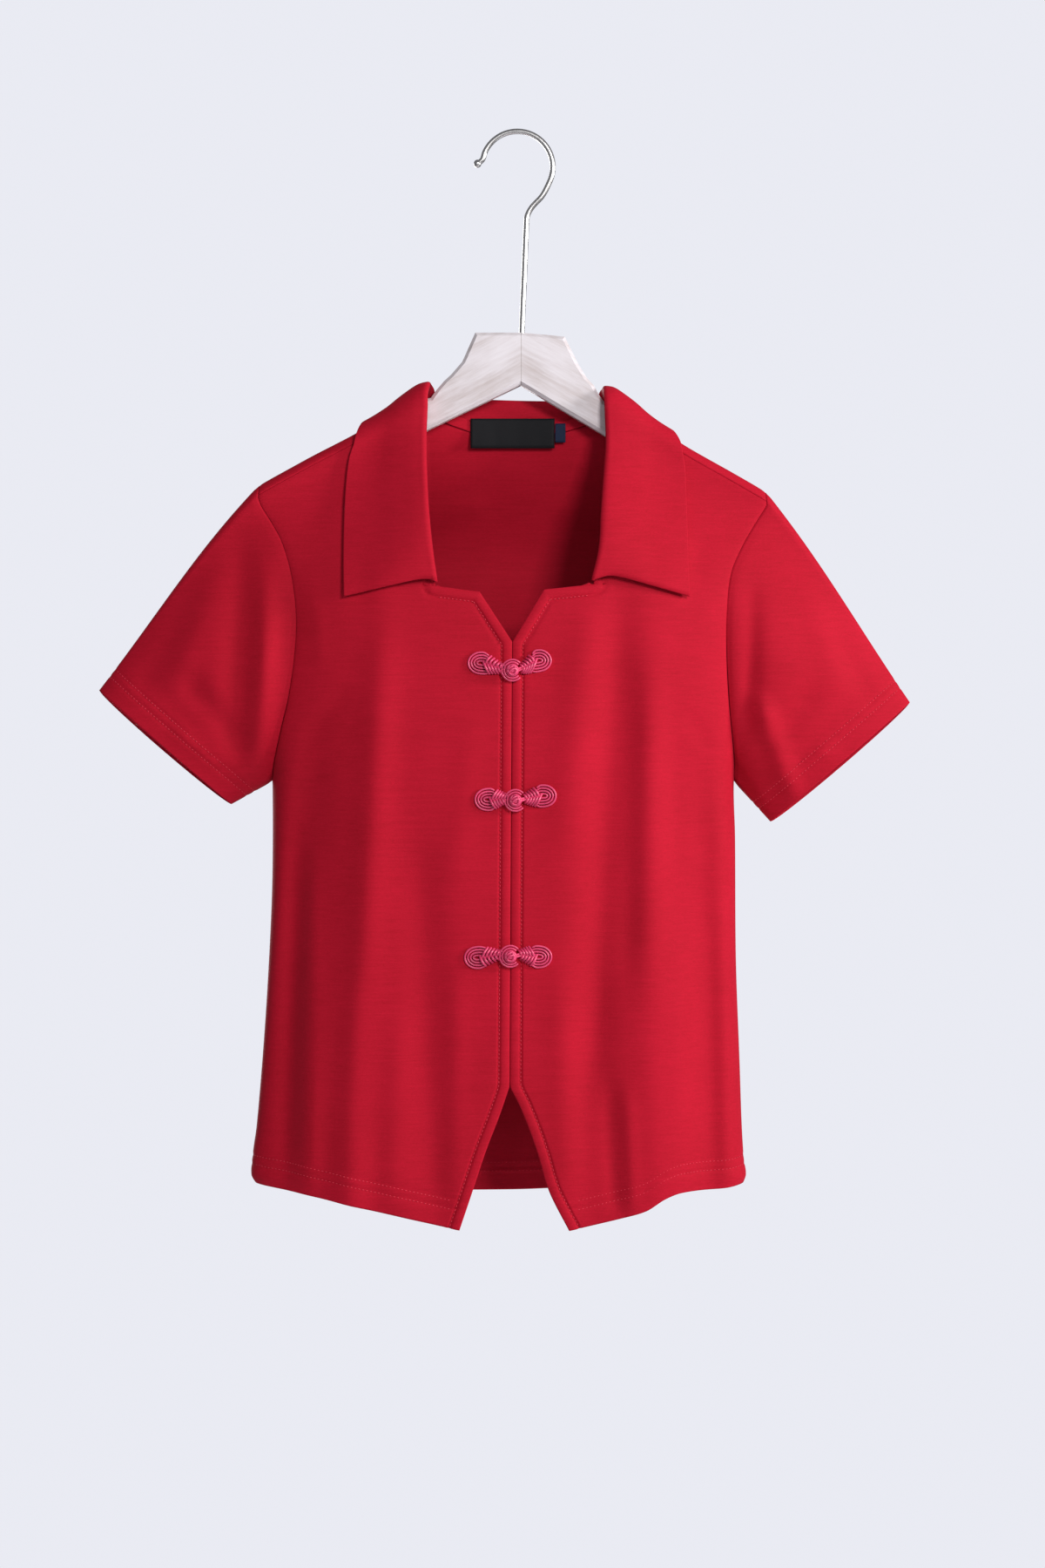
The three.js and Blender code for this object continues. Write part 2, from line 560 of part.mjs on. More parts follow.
function sleeve(side, front, back) {
  const frontColumn = FRONT_COLUMNS;
  const backColumn = side.sign < 0 ? 0 : back.grid[0].length - 1;
  const start = front.grid.findIndex((row) => row[frontColumn].z >= ARMPIT_Z - 0.01);
  const loop = [];
  for (let r = back.grid.length - 1; r > back.last; r -= 1) {
    loop.push({ point: back.grid[r][backColumn], normal: back.normals[r][backColumn] });
  }
  for (let r = back.last; r > start; r -= 1) {
    loop.push({ point: back.grid[r][backColumn], normal: back.normals[r][backColumn] });
  }
  const armpit = front.grid[start][frontColumn].clone().setY(0);
  loop.push({ point: armpit, normal: front.normals[start][frontColumn] });
  for (let r = start + 1; r < front.grid.length; r += 1) {
    loop.push({ point: front.grid[r][frontColumn], normal: front.normals[r][frontColumn] });
  }
  // Share of the way round, 0 on top of the shoulder and 0.5 at the armpit, behind first
  const ridgeAt = ROLL_ANGLES.length - 1 - ROLL_ANGLES.indexOf(0);
  const armpitAt = loop.findIndex((entry) => entry.point === armpit);
  const count = loop.length;
  const lengths = loop.map((entry, i) => entry.point.distanceTo(loop[(i + 1) % count].point));
  const walk = (from, to) => {
    let sum = 0;
    for (let i = from; i !== to; i = (i + 1) % count) sum += lengths[i];
    return sum;
  };
  const behind = walk(ridgeAt, armpitAt);
  const before = walk(armpitAt, ridgeAt);
  const { tip, inner, halfThickness, headLift, puff, backDrop } = side.sleeve;
  const outDirection = new THREE.Vector3(tip.x - side.shoulderPointX, 0, tip.z - ridgeZ(side.shoulderPointX));
  outDirection.normalize();
  const places = loop.map((entry, i) => {
    const onBack = i >= ridgeAt && i < armpitAt;
    const share = onBack ? walk(ridgeAt, i) / behind : 1 - walk(armpitAt, i) / before;
    return { share, face: onBack ? 1 : -1 };
  });
  const grid = [];
  for (let v = 0; v <= SLEEVE_RINGS; v += 1) {
    const t = v / SLEEVE_RINGS;
    grid.push(loop.map((entry, i) => {
      const { share, face } = places[i];
      const startPoint = entry.point.clone();
      startPoint.x += side.sign * (SEAM_GAP + 0.08);
      const round = Math.PI * share;
      const across = (1 - Math.cos(round)) / 2;
      const end = new THREE.Vector3(
        lerp(tip.x, inner.x, across),
        face * halfThickness * Math.sin(round),
        lerp(tip.z, inner.z, across),
      );
      if (face > 0) end.addScaledVector(outDirection, backDrop * Math.sin(round));
      const point = startPoint.lerp(end, t);
      const bulge = Math.sin(Math.PI * Math.min(t * 1.25, 1)) * Math.sin(round);
      point.y += face * puff * bulge;
      if (face < 0) point.y -= foldHeight(SLEEVE_FOLDS, point.x, point.z) * smooth(t * 4) * Math.sin(round);
      point.z += headLift * Math.max(0, Math.cos(round)) * Math.sin(Math.PI * t) * (1 - t) * 1.6;
      return point;
    }));
  }
  const middle = (t) => new THREE.Vector3(
    lerp((side.shoulderPointX + armpit.x) / 2, (tip.x + inner.x) / 2, t),
    0,
    lerp((ridgeZ(side.shoulderPointX) + armpit.z) / 2, (tip.z + inner.z) / 2, t),
  );
  const outward = (point, r) => {
    const away = point.clone().sub(middle(r / SLEEVE_RINGS));
    away.y *= 4;
    return away;
  };
  const normals = gridNormals(grid, outward, true);
  loop.forEach((entry, i) => {
    const agree = smooth((entry.normal.dot(normals[0][i]) - 0.2) / 0.5);
    normals[0][i].lerp(entry.normal, agree).normalize();
  });
  return wallGeometry(grid, normals, CLOTH_WALL, { loop: true });
}

// Collar: one strip that stands up from the neck seam, rolls over and falls on the shoulders.
// Each station gives its three lines by x, distance over the body from the ridge, and height off it.

function frontStation(side, row) {
  const half = COLLAR_WALL / 2;
  const rollX = read(side.neckRoll, 'z', 'x', row.rollZ) + side.sign * half;
  const panelEdgeX = rollX + side.sign * (NECK_SEAM_OFFSET - half);
  const seamX = panelEdgeX - side.sign * (SEAM_GAP + half);
  return {
    seamX,
    seamAlong: alongFront(panelEdgeX, row.rollZ),
    rollX,
    rollAlong: alongFront(rollX, row.rollZ),
    rollOut: row.rollOut,
    edgeX: row.edge.x,
    edgeAlong: alongFront(row.edge.x, row.edge.z),
    edgeOut: row.edgeOut,
  };
}

function shoulderStation(side, row) {
  const neckX = side.sign < 0 ? NECK_ENDS.left : NECK_ENDS.right;
  return {
    seamX: neckX - side.sign * (SEAM_GAP + COLLAR_WALL / 2 + 0.1),
    seamAlong: row.seamAlong,
    rollX: side.collarRidge.rollX - side.sign * row.rollIn,
    rollAlong: row.rollAlong,
    rollOut: row.rollOut,
    edgeX: side.collarRidge.edgeX - side.sign * row.edgeIn,
    edgeAlong: row.edgeAlong,
    edgeOut: row.edgeOut,
  };
}

const SHOULDER_ROWS = [
  { seamAlong: 0, rollIn: 0, rollAlong: 0, rollOut: 7.4, edgeIn: 0, edgeAlong: 0, edgeOut: 3.2 },
  { seamAlong: 9, rollIn: 2.5, rollAlong: 5, rollOut: 7.4, edgeIn: 3.5, edgeAlong: 16, edgeOut: 3.2 },
];
const BACK_ROWS = [
  { share: 0.9, rollOut: 7, rollShare: 0.86, edgeX: 92, edgeAlong: 36 },
  { share: 0.7, rollOut: 6.8, rollShare: 0.66, edgeX: 76, edgeAlong: 52 },
  { share: 0.38, rollOut: 6.6, rollShare: 0.36, edgeX: 43, edgeAlong: 62 },
];

function backStation(sign, row) {
  const neckX = sign < 0 ? NECK_ENDS.left : NECK_ENDS.right;
  const x = neckX * row.share;
  const seamZ = backNeckZ(x, NECK_ENDS) + SEAM_GAP + 0.2;
  return {
    seamX: x,
    seamAlong: -alongFront(x, seamZ),
    rollX: neckX * row.rollShare,
    rollAlong: 9.5,
    rollOut: row.rollOut,
    edgeX: sign * row.edgeX,
    edgeAlong: row.edgeAlong,
    edgeOut: 3,
  };
}

function collarStations() {
  const { left, right } = SIDE;
  const half = (side) => [
    ...side.collar.map((row) => frontStation(side, row)),
    ...SHOULDER_ROWS.map((row) => shoulderStation(side, row)),
    ...BACK_ROWS.map((row) => backStation(side.sign, row)),
  ];
  const centre = backStation(1, { share: 0, rollOut: 6.4, rollShare: 0, edgeX: 0, edgeAlong: 66 });
  return [...half(left), centre, ...half(right).reverse()].map((station, i) => ({ ...station, i }));
}

// Cross section of the collar at one station, along the middle of its cloth
function collarSection(at) {
  const fall = (t, extra = 0) => overBody(
    lerp(at.rollX, at.edgeX, t),
    lerp(at.rollAlong, at.edgeAlong, t),
    lerp(at.rollOut, at.edgeOut, smooth(t * 1.2)) + extra,
  );
  const seam = overBody(at.seamX, at.seamAlong, 0);
  const top = fall(0);
  const outside = new THREE.Vector3().subVectors(fall(0.1), top).normalize();
  return [
    seam,
    seam.clone().lerp(top, 0.4),
    seam.clone().lerp(top, 0.8),
    top.clone().addScaledVector(outside, 1.3),
    fall(0.075, 0.2),
    fall(0.2, 0.5),
    fall(0.4, 0.5),
    fall(0.6),
    fall(0.8),
    fall(1),
  ];
}

function collar() {
  const stations = collarStations();
  const last = stations.length - 1;
  const names = Object.keys(stations[0]).filter((name) => name !== 'i');
  const frontCount = SIDE.left.collar.length - 1;
  const grid = [];
  for (let i = 0; i < last; i += 1) {
    const onFrontLeaf = i < frontCount || i >= last - frontCount;
    const parts = onFrontLeaf ? 1 : 2;
    for (let k = 0; k < parts; k += 1) {
      const at = {};
      for (const name of names) at[name] = read(stations, 'i', name, i + k / parts);
      grid.push(collarSection(at));
    }
  }
  grid.push(collarSection(stations[last]));
  const rows = grid.length;
  const columns = grid[0].length;
  const normals = grid.map((row, r) => row.map((point, c) => {
    const across = new THREE.Vector3().subVectors(row[Math.min(c + 1, columns - 1)], row[Math.max(c - 1, 0)]);
    const along = new THREE.Vector3().subVectors(grid[Math.min(r + 1, rows - 1)][c], grid[Math.max(r - 1, 0)][c]);
    return across.cross(along).normalize();
  }));
  const outer = grid.map((row, r) => row.map((point, c) => (
    point.clone().addScaledVector(normals[r][c], COLLAR_WALL / 2))));
  return wallGeometry(outer, normals, COLLAR_WALL);
}

// Labels and tape inside the back neck

function insideBackNeck(centreX, width, bottomZ, topZ, layer, wall, columns, follow = false) {
  const grid = [];
  for (let r = 0; r <= 2; r += 1) {
    const row = [];
    for (let c = 0; c <= columns; c += 1) {
      const x = centreX + width * (c / columns - 0.5);
      const rise = backNeckZ(x, NECK_ENDS) - BACK_NECK_Z;
      const z = lerp(bottomZ, topZ, r / 2) + (follow ? rise : 0);
      row.push(new THREE.Vector3(x, backY(x, BACK_NECK_Z + rise) - CLOTH_WALL - layer, z));
    }
    grid.push(row);
  }
  const normals = gridNormals(grid, () => new THREE.Vector3(0, 1, 0));
  return wallGeometry(grid, normals, wall);
}

// Hanger: a flat board with a neck and two arms, and a wire hook with a long stem

function boardEdge(x) {
  return ridgeZ(x) - BOARD_BELOW_RIDGE;
}

function hangerBoard() {
  const shape = new THREE.Shape();
  const leftEnd = -173;
  const rightEnd = 166;
  const armDepth = 21;
  shape.moveTo(3.2, -137.2);
  shape.lineTo(-28.9, -137.2);
  shape.lineTo(-37.8, -157.2);
  shape.lineTo(-45.6, -166.2);
  shape.lineTo(-50, -170.2);
  shape.lineTo(-55.5, -176.6);
  shape.lineTo(-59.5, -182.2);
  for (const x of [-64, -78, -95, -115, -135, -155, leftEnd + 4]) shape.lineTo(x, boardEdge(x));
  shape.lineTo(leftEnd, boardEdge(leftEnd) - 5);
  shape.lineTo(leftEnd + 1, boardEdge(leftEnd) - armDepth + 3);
  shape.lineTo(leftEnd + 7, boardEdge(leftEnd + 7) - armDepth);
  for (const x of [-150, -125, -100]) shape.lineTo(x, boardEdge(x) - armDepth);
  shape.lineTo(-62.9, -204.6);
  shape.lineTo(2.3, -173.2);
  shape.lineTo(61, -208.4);
  for (const x of [100, 125, 148]) shape.lineTo(x, boardEdge(x) - armDepth);
  shape.lineTo(rightEnd - 7, boardEdge(rightEnd - 7) - armDepth);
  shape.lineTo(rightEnd - 1, boardEdge(rightEnd) - armDepth + 3);
  shape.lineTo(rightEnd, boardEdge(rightEnd) - 5);
  for (const x of [rightEnd - 4, 150, 132, 112, 94, 78, 65]) shape.lineTo(x, boardEdge(x));
  shape.lineTo(60, -185.2);
  shape.lineTo(56, -179.6);
  shape.lineTo(52.5, -173.2);
  shape.lineTo(48, -168.6);
  shape.lineTo(41.8, -158.7);
  shape.lineTo(32.6, -140);
  const bevel = {
    depth: BOARD_THICKNESS - 2 * BOARD_BEVEL,
    bevelEnabled: true,
    bevelThickness: BOARD_BEVEL,
    bevelSize: BOARD_BEVEL,
    bevelOffset: -BOARD_BEVEL,
    bevelSegments: 1,
  };
  const board = new THREE.ExtrudeGeometry(shape, bevel);
  board.translate(0, 0, -BOARD_THICKNESS / 2 + BOARD_BEVEL);
  board.rotateX(Math.PI / 2);
  const socket = new THREE.CylinderGeometry(WIRE_DIAMETER / 2 + SEAM_GAP, WIRE_DIAMETER / 2 + SEAM_GAP, SOCKET_DEPTH * 2, 16);
  socket.rotateX(Math.PI / 2);
  socket.translate(3.2, 0, -137.2);
  return geometryOf(solidOf(board).subtract(solidOf(socket)));
}

function hangerHook() {
  const centre = new THREE.Vector3(0, 0, HOOK_CENTRE_Z);
  const onCircle = (degrees) => {
    const a = radians(degrees);
    return new THREE.Vector3(HOOK_RADIUS * Math.sin(a), 0, HOOK_RADIUS * Math.cos(a)).add(centre);
  };
  const points = [new THREE.Vector3(-27.4, 0, -20.4)];
  for (let degrees = -78; degrees <= 114; degrees += 12) points.push(onCircle(degrees));
  points.push(new THREE.Vector3(17.3, 0, -42.4));
  points.push(new THREE.Vector3(9.9, 0, -50.6));
  points.push(new THREE.Vector3(6.8, 0, -56.6));
  points.push(new THREE.Vector3(6.3, 0, -62));
  points.push(new THREE.Vector3(4.7, 0, -100));
  points.push(new THREE.Vector3(3.2, 0, -136));
  points.push(new THREE.Vector3(3.2, 0, -137.2 - SOCKET_DEPTH + SEAM_GAP));
  const smoothPath = new THREE.CatmullRomCurve3(points, false, 'centripetal');
  const section = new THREE.Shape();
  section.absarc(0, 0, WIRE_DIAMETER / 2, 0, Math.PI * 2);
  const wire = new THREE.ExtrudeGeometry(section, { steps: 32, curveSegments: 4, extrudePath: smoothPath });
  const ball = new THREE.SphereGeometry(HOOK_TIP_BALL, 12, 8);
  ball.translate(points[0].x, points[0].y, points[0].z);
  return geometryOf(joined([solidOf(wire), solidOf(ball)]));
}

// Frog fasteners: satin cord laid in loops, braided towards a ball knot and its loop

const FROGS = [
  { name: 'upper', knot: { x: -3.2, z: -371 }, left: { x: -24.6, z: -366 }, right: { x: 14.5, z: -364.4 } },
  { name: 'middle', knot: { x: -1.2, z: -458.6 }, left: { x: -20, z: -458 }, right: { x: 17.8, z: -455.6 } },
  { name: 'lower', knot: { x: -4.6, z: -563.5 }, left: { x: -27, z: -564.5 }, right: { x: 14.8, z: -564 } },
];
const CORD_LOOPS = [{ half: 7.4, reach: 8.8 }, { half: 4.6, reach: 5.6 }];
const CORD_SIDES = 5;
const BRAID_SIDES = 4;

function cordAlong(points, steps, radius = CORD_DIAMETER / 2, sides = CORD_SIDES) {
  const curve = new THREE.CatmullRomCurve3(points, false, 'centripetal');
  const section = new THREE.Shape();
  for (let k = 0; k < sides; k += 1) {
    const a = (k + 0.25) * 2 * Math.PI / sides;
    if (k === 0) section.moveTo(radius * Math.cos(a), radius * Math.sin(a));
    else section.lineTo(radius * Math.cos(a), radius * Math.sin(a));
  }
  return solidOf(new THREE.ExtrudeGeometry(section, { steps, extrudePath: curve }));
}

function onFront(x, z, out) {
  return new THREE.Vector3(x, frontY(x, z) - SEAM_GAP - out, z);
}

function frogHalf(frog, side) {
  const loopCentre = side.sign < 0 ? frog.left : frog.right;
  const towards = -side.sign;
  const knotEdge = frog.knot.x - towards * (KNOT_DIAMETER / 2);
  const length = Math.abs(knotEdge - loopCentre.x);
  const place = (along, across, out) => {
    const t = clamp(along / length, 0, 1);
    const x = loopCentre.x + towards * along;
    const z = lerp(loopCentre.z, frog.knot.z + 1, smooth(t)) + across;
    return onFront(x, z, out);
  };
  const solids = [];
  const radius = CORD_DIAMETER / 2;
  for (const loop of CORD_LOOPS) {
    const points = [place(length * 0.5, loop.half * 0.62, radius + 0.5), place(3, loop.half, radius)];
    for (let degrees = 60; degrees >= -60; degrees -= 30) {
      const a = radians(degrees);
      points.push(place(-loop.reach * Math.cos(a), loop.half * Math.sin(a) * 1.05, radius));
    }
    points.push(place(3, -loop.half, radius), place(length * 0.5, -loop.half * 0.62, radius + 0.5));
    solids.push(cordAlong(points, 8));
  }
  const braids = 3;
  for (let k = 0; k < braids; k += 1) {
    const t = k / (braids - 1);
    const spread = lerp(6.4, 3, t);
    const start = lerp(0.24, 0.7, t) * length;
    const slant = lerp(5, 3.2, t);
    for (const across of [-1, 1]) {
      solids.push(cordAlong([
        place(start, across * spread, radius),
        place(start + slant, -across * 0.6, radius + 1),
      ], 1, radius, BRAID_SIDES));
    }
  }
  const knotCentre = onFront(frog.knot.x, frog.knot.z, KNOT_DIAMETER / 2 + 0.4);
  if (side.sign > 0) {
    const knot = new THREE.SphereGeometry(KNOT_DIAMETER / 2, 10, 6);
    knot.translate(knotCentre.x, knotCentre.y, knotCentre.z);
    solids.push(solidOf(knot));
    solids.push(cordAlong([place(length * 0.6, 0, radius + 0.9), knotCentre.clone().add(new THREE.Vector3(2, 0, 0.5))], 1, 1.9));
  } else {
    const ring = KNOT_DIAMETER / 2 + CORD_DIAMETER / 2 + SEAM_GAP + 0.5;
    const points = [];
    for (let degrees = 60; degrees <= 300; degrees += 30) {
      const a = radians(degrees);
      const at = knotCentre.clone();
      at.x += ring * Math.cos(a);
      at.z += ring * Math.sin(a);
      at.y += 1.2;
      points.push(at);
    }
    solids.push(cordAlong(points, 6));
    solids.push(cordAlong([place(length * 0.55, 1.2, radius + 0.8), points[3]], 1));
    solids.push(cordAlong([place(length * 0.55, -1.2, radius + 0.8), points[5]], 1));
  }
  return geometryOf(joined(solids));
}

const garment = new THREE.Group();
const frontLeft = frontPanel(SIDE.left);
const frontRight = frontPanel(SIDE.right);
const back = backPanel();

garment.add(meshOf('front_left', frontLeft.geometry, RED));
garment.add(meshOf('front_right', frontRight.geometry, RED));
garment.add(meshOf('back', back.geometry, RED));
garment.add(meshOf('sleeve_left', sleeve(SIDE.left, frontLeft, back), RED));
garment.add(meshOf('sleeve_right', sleeve(SIDE.right, frontRight, back), RED));
garment.add(meshOf('collar', collar(), RED));
garment.add(meshOf('neck_tape', insideBackNeck(0, 104, -206.6, -199, 0.35, 0.6, 12, true), RED));
garment.add(meshOf('label', insideBackNeck(-3.3, 58, -215.5, -195, 1.3, 0.7, 6), BLACK, 0.6));
garment.add(meshOf('size_tab', insideBackNeck(29.8, 7, -211.5, -198.5, 1.3, 0.7, 1), NAVY, 0.6));

const hanger = new THREE.Group();
hanger.add(meshOf('hanger_board', hangerBoard(), WOOD, 0.6));
hanger.add(meshOf('hanger_hook', hangerHook(), STEEL, 0.3, 1));
garment.add(hanger);

const fasteners = new THREE.Group();
for (const frog of FROGS) {
  fasteners.add(meshOf(`frog_${frog.name}_left`, frogHalf(frog, SIDE.left), PINK, 0.45));
  fasteners.add(meshOf(`frog_${frog.name}_right`, frogHalf(frog, SIDE.right), PINK, 0.45));
}
garment.add(fasteners);

export default garment;
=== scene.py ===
import math
import bpy
import numpy as np
from mathutils import Matrix, Vector


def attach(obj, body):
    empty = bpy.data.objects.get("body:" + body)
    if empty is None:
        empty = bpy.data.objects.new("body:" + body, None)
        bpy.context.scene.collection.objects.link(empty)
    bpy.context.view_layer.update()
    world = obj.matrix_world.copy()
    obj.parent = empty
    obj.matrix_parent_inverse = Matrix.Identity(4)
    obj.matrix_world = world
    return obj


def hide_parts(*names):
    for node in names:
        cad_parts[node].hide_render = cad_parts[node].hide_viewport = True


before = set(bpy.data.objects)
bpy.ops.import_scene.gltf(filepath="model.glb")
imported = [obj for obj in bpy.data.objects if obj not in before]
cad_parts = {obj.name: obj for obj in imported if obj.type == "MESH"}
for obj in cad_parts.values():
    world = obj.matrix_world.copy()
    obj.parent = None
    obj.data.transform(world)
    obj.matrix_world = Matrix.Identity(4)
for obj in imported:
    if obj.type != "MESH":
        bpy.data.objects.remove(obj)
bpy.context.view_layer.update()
scene = bpy.context.scene

# Camera, light and floor
# The garment hangs straight in front of the lens, 2.2 m away, in a pale studio. Two soft lamps
# stand to its right, in front and at the side, a weak one fills from the left, one lights the back.

PIXEL = 0.0006
FRAME_HEIGHT = 1800 * PIXEL
CAMERA_DISTANCE = 2.2
FRAME_CENTRE = Vector((0.0036, 0, -0.4476))
SENSOR = 36
AMBIENT = 0.25
FLOOR_HALF = 1.5
FLOOR_Z = -1.6

camera_data = bpy.data.cameras.new("camera")
camera_data.sensor_width = SENSOR
camera_data.lens = SENSOR * CAMERA_DISTANCE / FRAME_HEIGHT
camera = bpy.data.objects.new("camera", camera_data)
camera.location = FRAME_CENTRE + Vector((0, -CAMERA_DISTANCE, 0))
camera.rotation_euler = (math.radians(90), 0, 0)
scene.collection.objects.link(camera)
scene.camera = camera
scene.view_settings.view_transform = "Standard"


def soft_lamp(name, place, size, power, tint):
    data = bpy.data.lights.new(name, "AREA")
    data.size = size
    data.energy = power
    data.color = tint
    lamp = bpy.data.objects.new(name, data)
    lamp.location = place
    lamp.rotation_euler = (FRAME_CENTRE - Vector(place)).to_track_quat("-Z", "Y").to_euler()
    scene.collection.objects.link(lamp)


soft_lamp("window_lamp", (0.95, -2.2, 0.45), 0.6, 37, (1, 0.985, 0.985))
soft_lamp("side_lamp", (2.2, -0.75, 0.1), 0.5, 47, (1, 0.985, 0.985))
soft_lamp("fill_lamp", (-0.5, -2.5, 0.3), 1.2, 5, (0.95, 0.97, 1))
soft_lamp("rear_lamp", (-0.9, 2.3, -0.2), 1.4, 48, (1, 1, 1))

world = bpy.data.worlds.new("studio")
world.use_nodes = True
background = world.node_tree.nodes["Background"]
background.inputs["Color"].default_value = (0.82, 0.83, 0.895, 1)
# The lens sees the studio at full strength, the garment is lit by a part of it
light_path = world.node_tree.nodes.new("ShaderNodeLightPath")
strength = world.node_tree.nodes.new("ShaderNodeMapRange")
strength.inputs["To Min"].default_value = AMBIENT
world.node_tree.links.new(light_path.outputs["Is Camera Ray"], strength.inputs["Value"])
world.node_tree.links.new(strength.outputs["Result"], background.inputs["Strength"])
scene.world = world

floor_mesh = bpy.data.meshes.new("floor")
floor_mesh.from_pydata(
    [(-FLOOR_HALF, -FLOOR_HALF, FLOOR_Z), (FLOOR_HALF, -FLOOR_HALF, FLOOR_Z),
     (FLOOR_HALF, FLOOR_HALF, FLOOR_Z), (-FLOOR_HALF, FLOOR_HALF, FLOOR_Z)], [], [(0, 1, 2, 3)])
floor = bpy.data.objects.new("floor", floor_mesh)
scene.collection.objects.link(floor)
floor_paint = bpy.data.materials.new("floor_paint")
floor_paint.use_nodes = True
floor_paint.node_tree.nodes["Principled BSDF"].inputs["Base Color"].default_value = (0.8, 0.81, 0.85, 1)
floor_mesh.materials.append(floor_paint)

# Fronts: two panels of soft double knit that meet edge to edge at the centre front.
# Narrow facings are turned in and topstitched along the neck, the opening and the vent, and the
# hem is turned up and sewn with a twin needle. Both hang from the hanger's arms.

MM = 0.001
CLOTH = 1.2
SEAM_GAP = 0.3
ROLL = 9
SEAM_ANGLE = -80
DEPTH_POWER = 2.5
DROP_LENGTH = 110
FOLD_DROP = 60
NECK_SEAM = 2.6
RIDGE_END = 62
NECK_END_Z = -184
NECK_POINT_Z = -190
BACK_NECK_Z = -207
NOTCH_Z = -351.5
CENTRE_ARMPIT_Z = -440
ARMPIT_Z = -445
ARMHOLE_HEIGHT = 190
BACK_ARMHOLE_IN = 2
VENT_TOP_Z = -652.3
HEM_Z = -721
BACK_HEM_Z = -732
BODY_HEIGHT = 450
EDGE_ROUND = 0.14


def curve(*points):
    """A smooth reading of a table of (place, value) rows, level past both ends."""
    place, value = np.array(sorted(points), float).T
    slope = np.empty_like(value)
    slope[1:-1] = (value[2:] - value[:-2]) / (place[2:] - place[:-2])
    slope[0] = (value[1] - value[0]) / (place[1] - place[0])
    slope[-1] = (value[-1] - value[-2]) / (place[-1] - place[-2])

    def at(where):
        where = np.clip(where, place[0], place[-1])
        i = np.clip(np.searchsorted(place, where) - 1, 0, len(place) - 2)
        span = place[i + 1] - place[i]
        t = (where - place[i]) / span
        return ((2 * t**3 - 3 * t**2 + 1) * value[i] + (t**3 - 2 * t**2 + t) * span * slope[i]
                + (3 * t**2 - 2 * t**3) * value[i + 1] + (t**3 - t**2) * span * slope[i + 1])

    return at


# Outlines of the halves from the front; each table has rows of (place, value) in millimetres
LEFT = dict(
    sign=-1,
    ridge=curve((-190, -247.5), (-178.5, -242.1), (-161.6, -232.9), (-141.5, -221.9), (-114.6, -208),
                (-102, -200.8), (-90, -194), (-78, -187.3), (-62, -178.5)),
    side_x=curve((-722, -180), (-716, -183), (-700, -182), (-682, -179.5), (-623, -174.5),
                 (-559, -170.5), (-508, -168.6), (-445, -168.6), (-410, -170), (-360, -168),
                 (-332, -168), (-304, -172), (-282, -182), (-257, -202), (-235, -215)),
    armhole_x=curve((-445, -168.6), (-432, -166.8), (-410, -161.5), (-390, -156.5), (-360, -152),
                    (-332, -151), (-304, -154.4), (-282, -161), (-269, -168), (-257, -175.5),
                    (-249, -178.5)),
    shoulder_x=-179,
    neck_x=curve((-318, -53), (-312, -53.6), (-278, -58.2), (-243, -61), (-207, -62), (-184, -61),
                 (-170, -61)),
    vent_x=curve((-749.2, -38.9), (-722.7, -30), (-695.6, -21), (-671, -11.6), (-652.3, -5.2)),
    hem_lift=curve((-181, 0), (-146, 2), (-109, 1.7), (-39, 0)),
    tip=(-38.9, -749.2), neck_corner=(-25.2, -317.8), collar_end=(-55.5, -313.8),
    cuff_tip=(-287.6, -383.3), cuff_inner=(-197, -461), cuff_half=17, head_lift=5,
    collar_ridge=(-60.6, -103.2),
    # Collar stations on the front: roll height, edge x, edge z, roll out, edge out
    collar=[(-311, -117, -320.5, 4.6, 4.2), (-288, -117.7, -297, 5.4, 3.4),
            (-262, -117.6, -270, 5.8, 2.8), (-236, -117, -245, 6.2, 2.6),
            (-212, -115.2, -225, 6.6, 2.6), (-193, -110.6, -212, 7, 2.8)],
)
RIGHT = dict(
    sign=1,
    ridge=curve((62, -181.5), (79.3, -191.5), (91.9, -199.6), (103.4, -206.8), (118.6, -216.4),
                (146.8, -232.3), (169.7, -245.5), (178.1, -250.7), (188, -257)),
    side_x=curve((-722, 155.5), (-716, 157.4), (-704, 156), (-681, 154.6), (-640, 153.2),
                 (-568, 150.6), (-484, 150), (-445, 149.2), (-410, 153), (-360, 157), (-332, 160),
                 (-304, 165), (-285, 174), (-259, 196), (-240, 208)),
    armhole_x=curve((-445, 149.2), (-433, 149.4), (-421, 148.2), (-393, 145), (-360, 143),
                    (-332.5, 143), (-304.7, 145.8), (-285.6, 153.6), (-270, 162.5), (-259, 169.5),
                    (-254, 172)),
    shoulder_x=172.5,
    neck_x=curve((-318, 48.6), (-310, 50), (-297, 54), (-261.5, 56.8), (-233.4, 59), (-211, 60.5),
                 (-188.6, 59.6), (-172, 59.6)),
    vent_x=curve((-749.5, 35), (-722.7, 21.4), (-695.6, 13.3), (-668.5, 3.2), (-652.3, -4.8)),
    hem_lift=curve((35, 0), (71, 0), (87.6, 1), (100, 5.6), (112, 6.6), (143, 1), (156, 0)),
    tip=(35, -749.5), neck_corner=(17.9, -316.3), collar_end=(51.6, -312.6),
    cuff_tip=(270, -391.6), cuff_inner=(174.6, -473), cuff_half=18, head_lift=4,
    collar_ridge=(59.4, 104.4),
    collar=[(-310, 116.5, -320.5, 4.6, 4.2), (-288, 116, -297, 5.4, 3.4),
            (-262, 115.7, -271, 5.8, 2.8), (-238, 115.2, -247, 6.2, 2.6),
            (-215, 114.6, -229, 6.6, 2.6), (-197, 111.6, -216.5, 7, 2.8)],
)
DEPTH = dict(
    front=curve((-750, 44), (-650, 46), (-550, 48), (-450, 49), (-350, 46), (-300, 43), (-200, 40)),
    back=curve((-750, 42), (-650, 44), (-550, 45), (-450, 46), (-350, 45), (-300, 43), (-200, 40)),
)
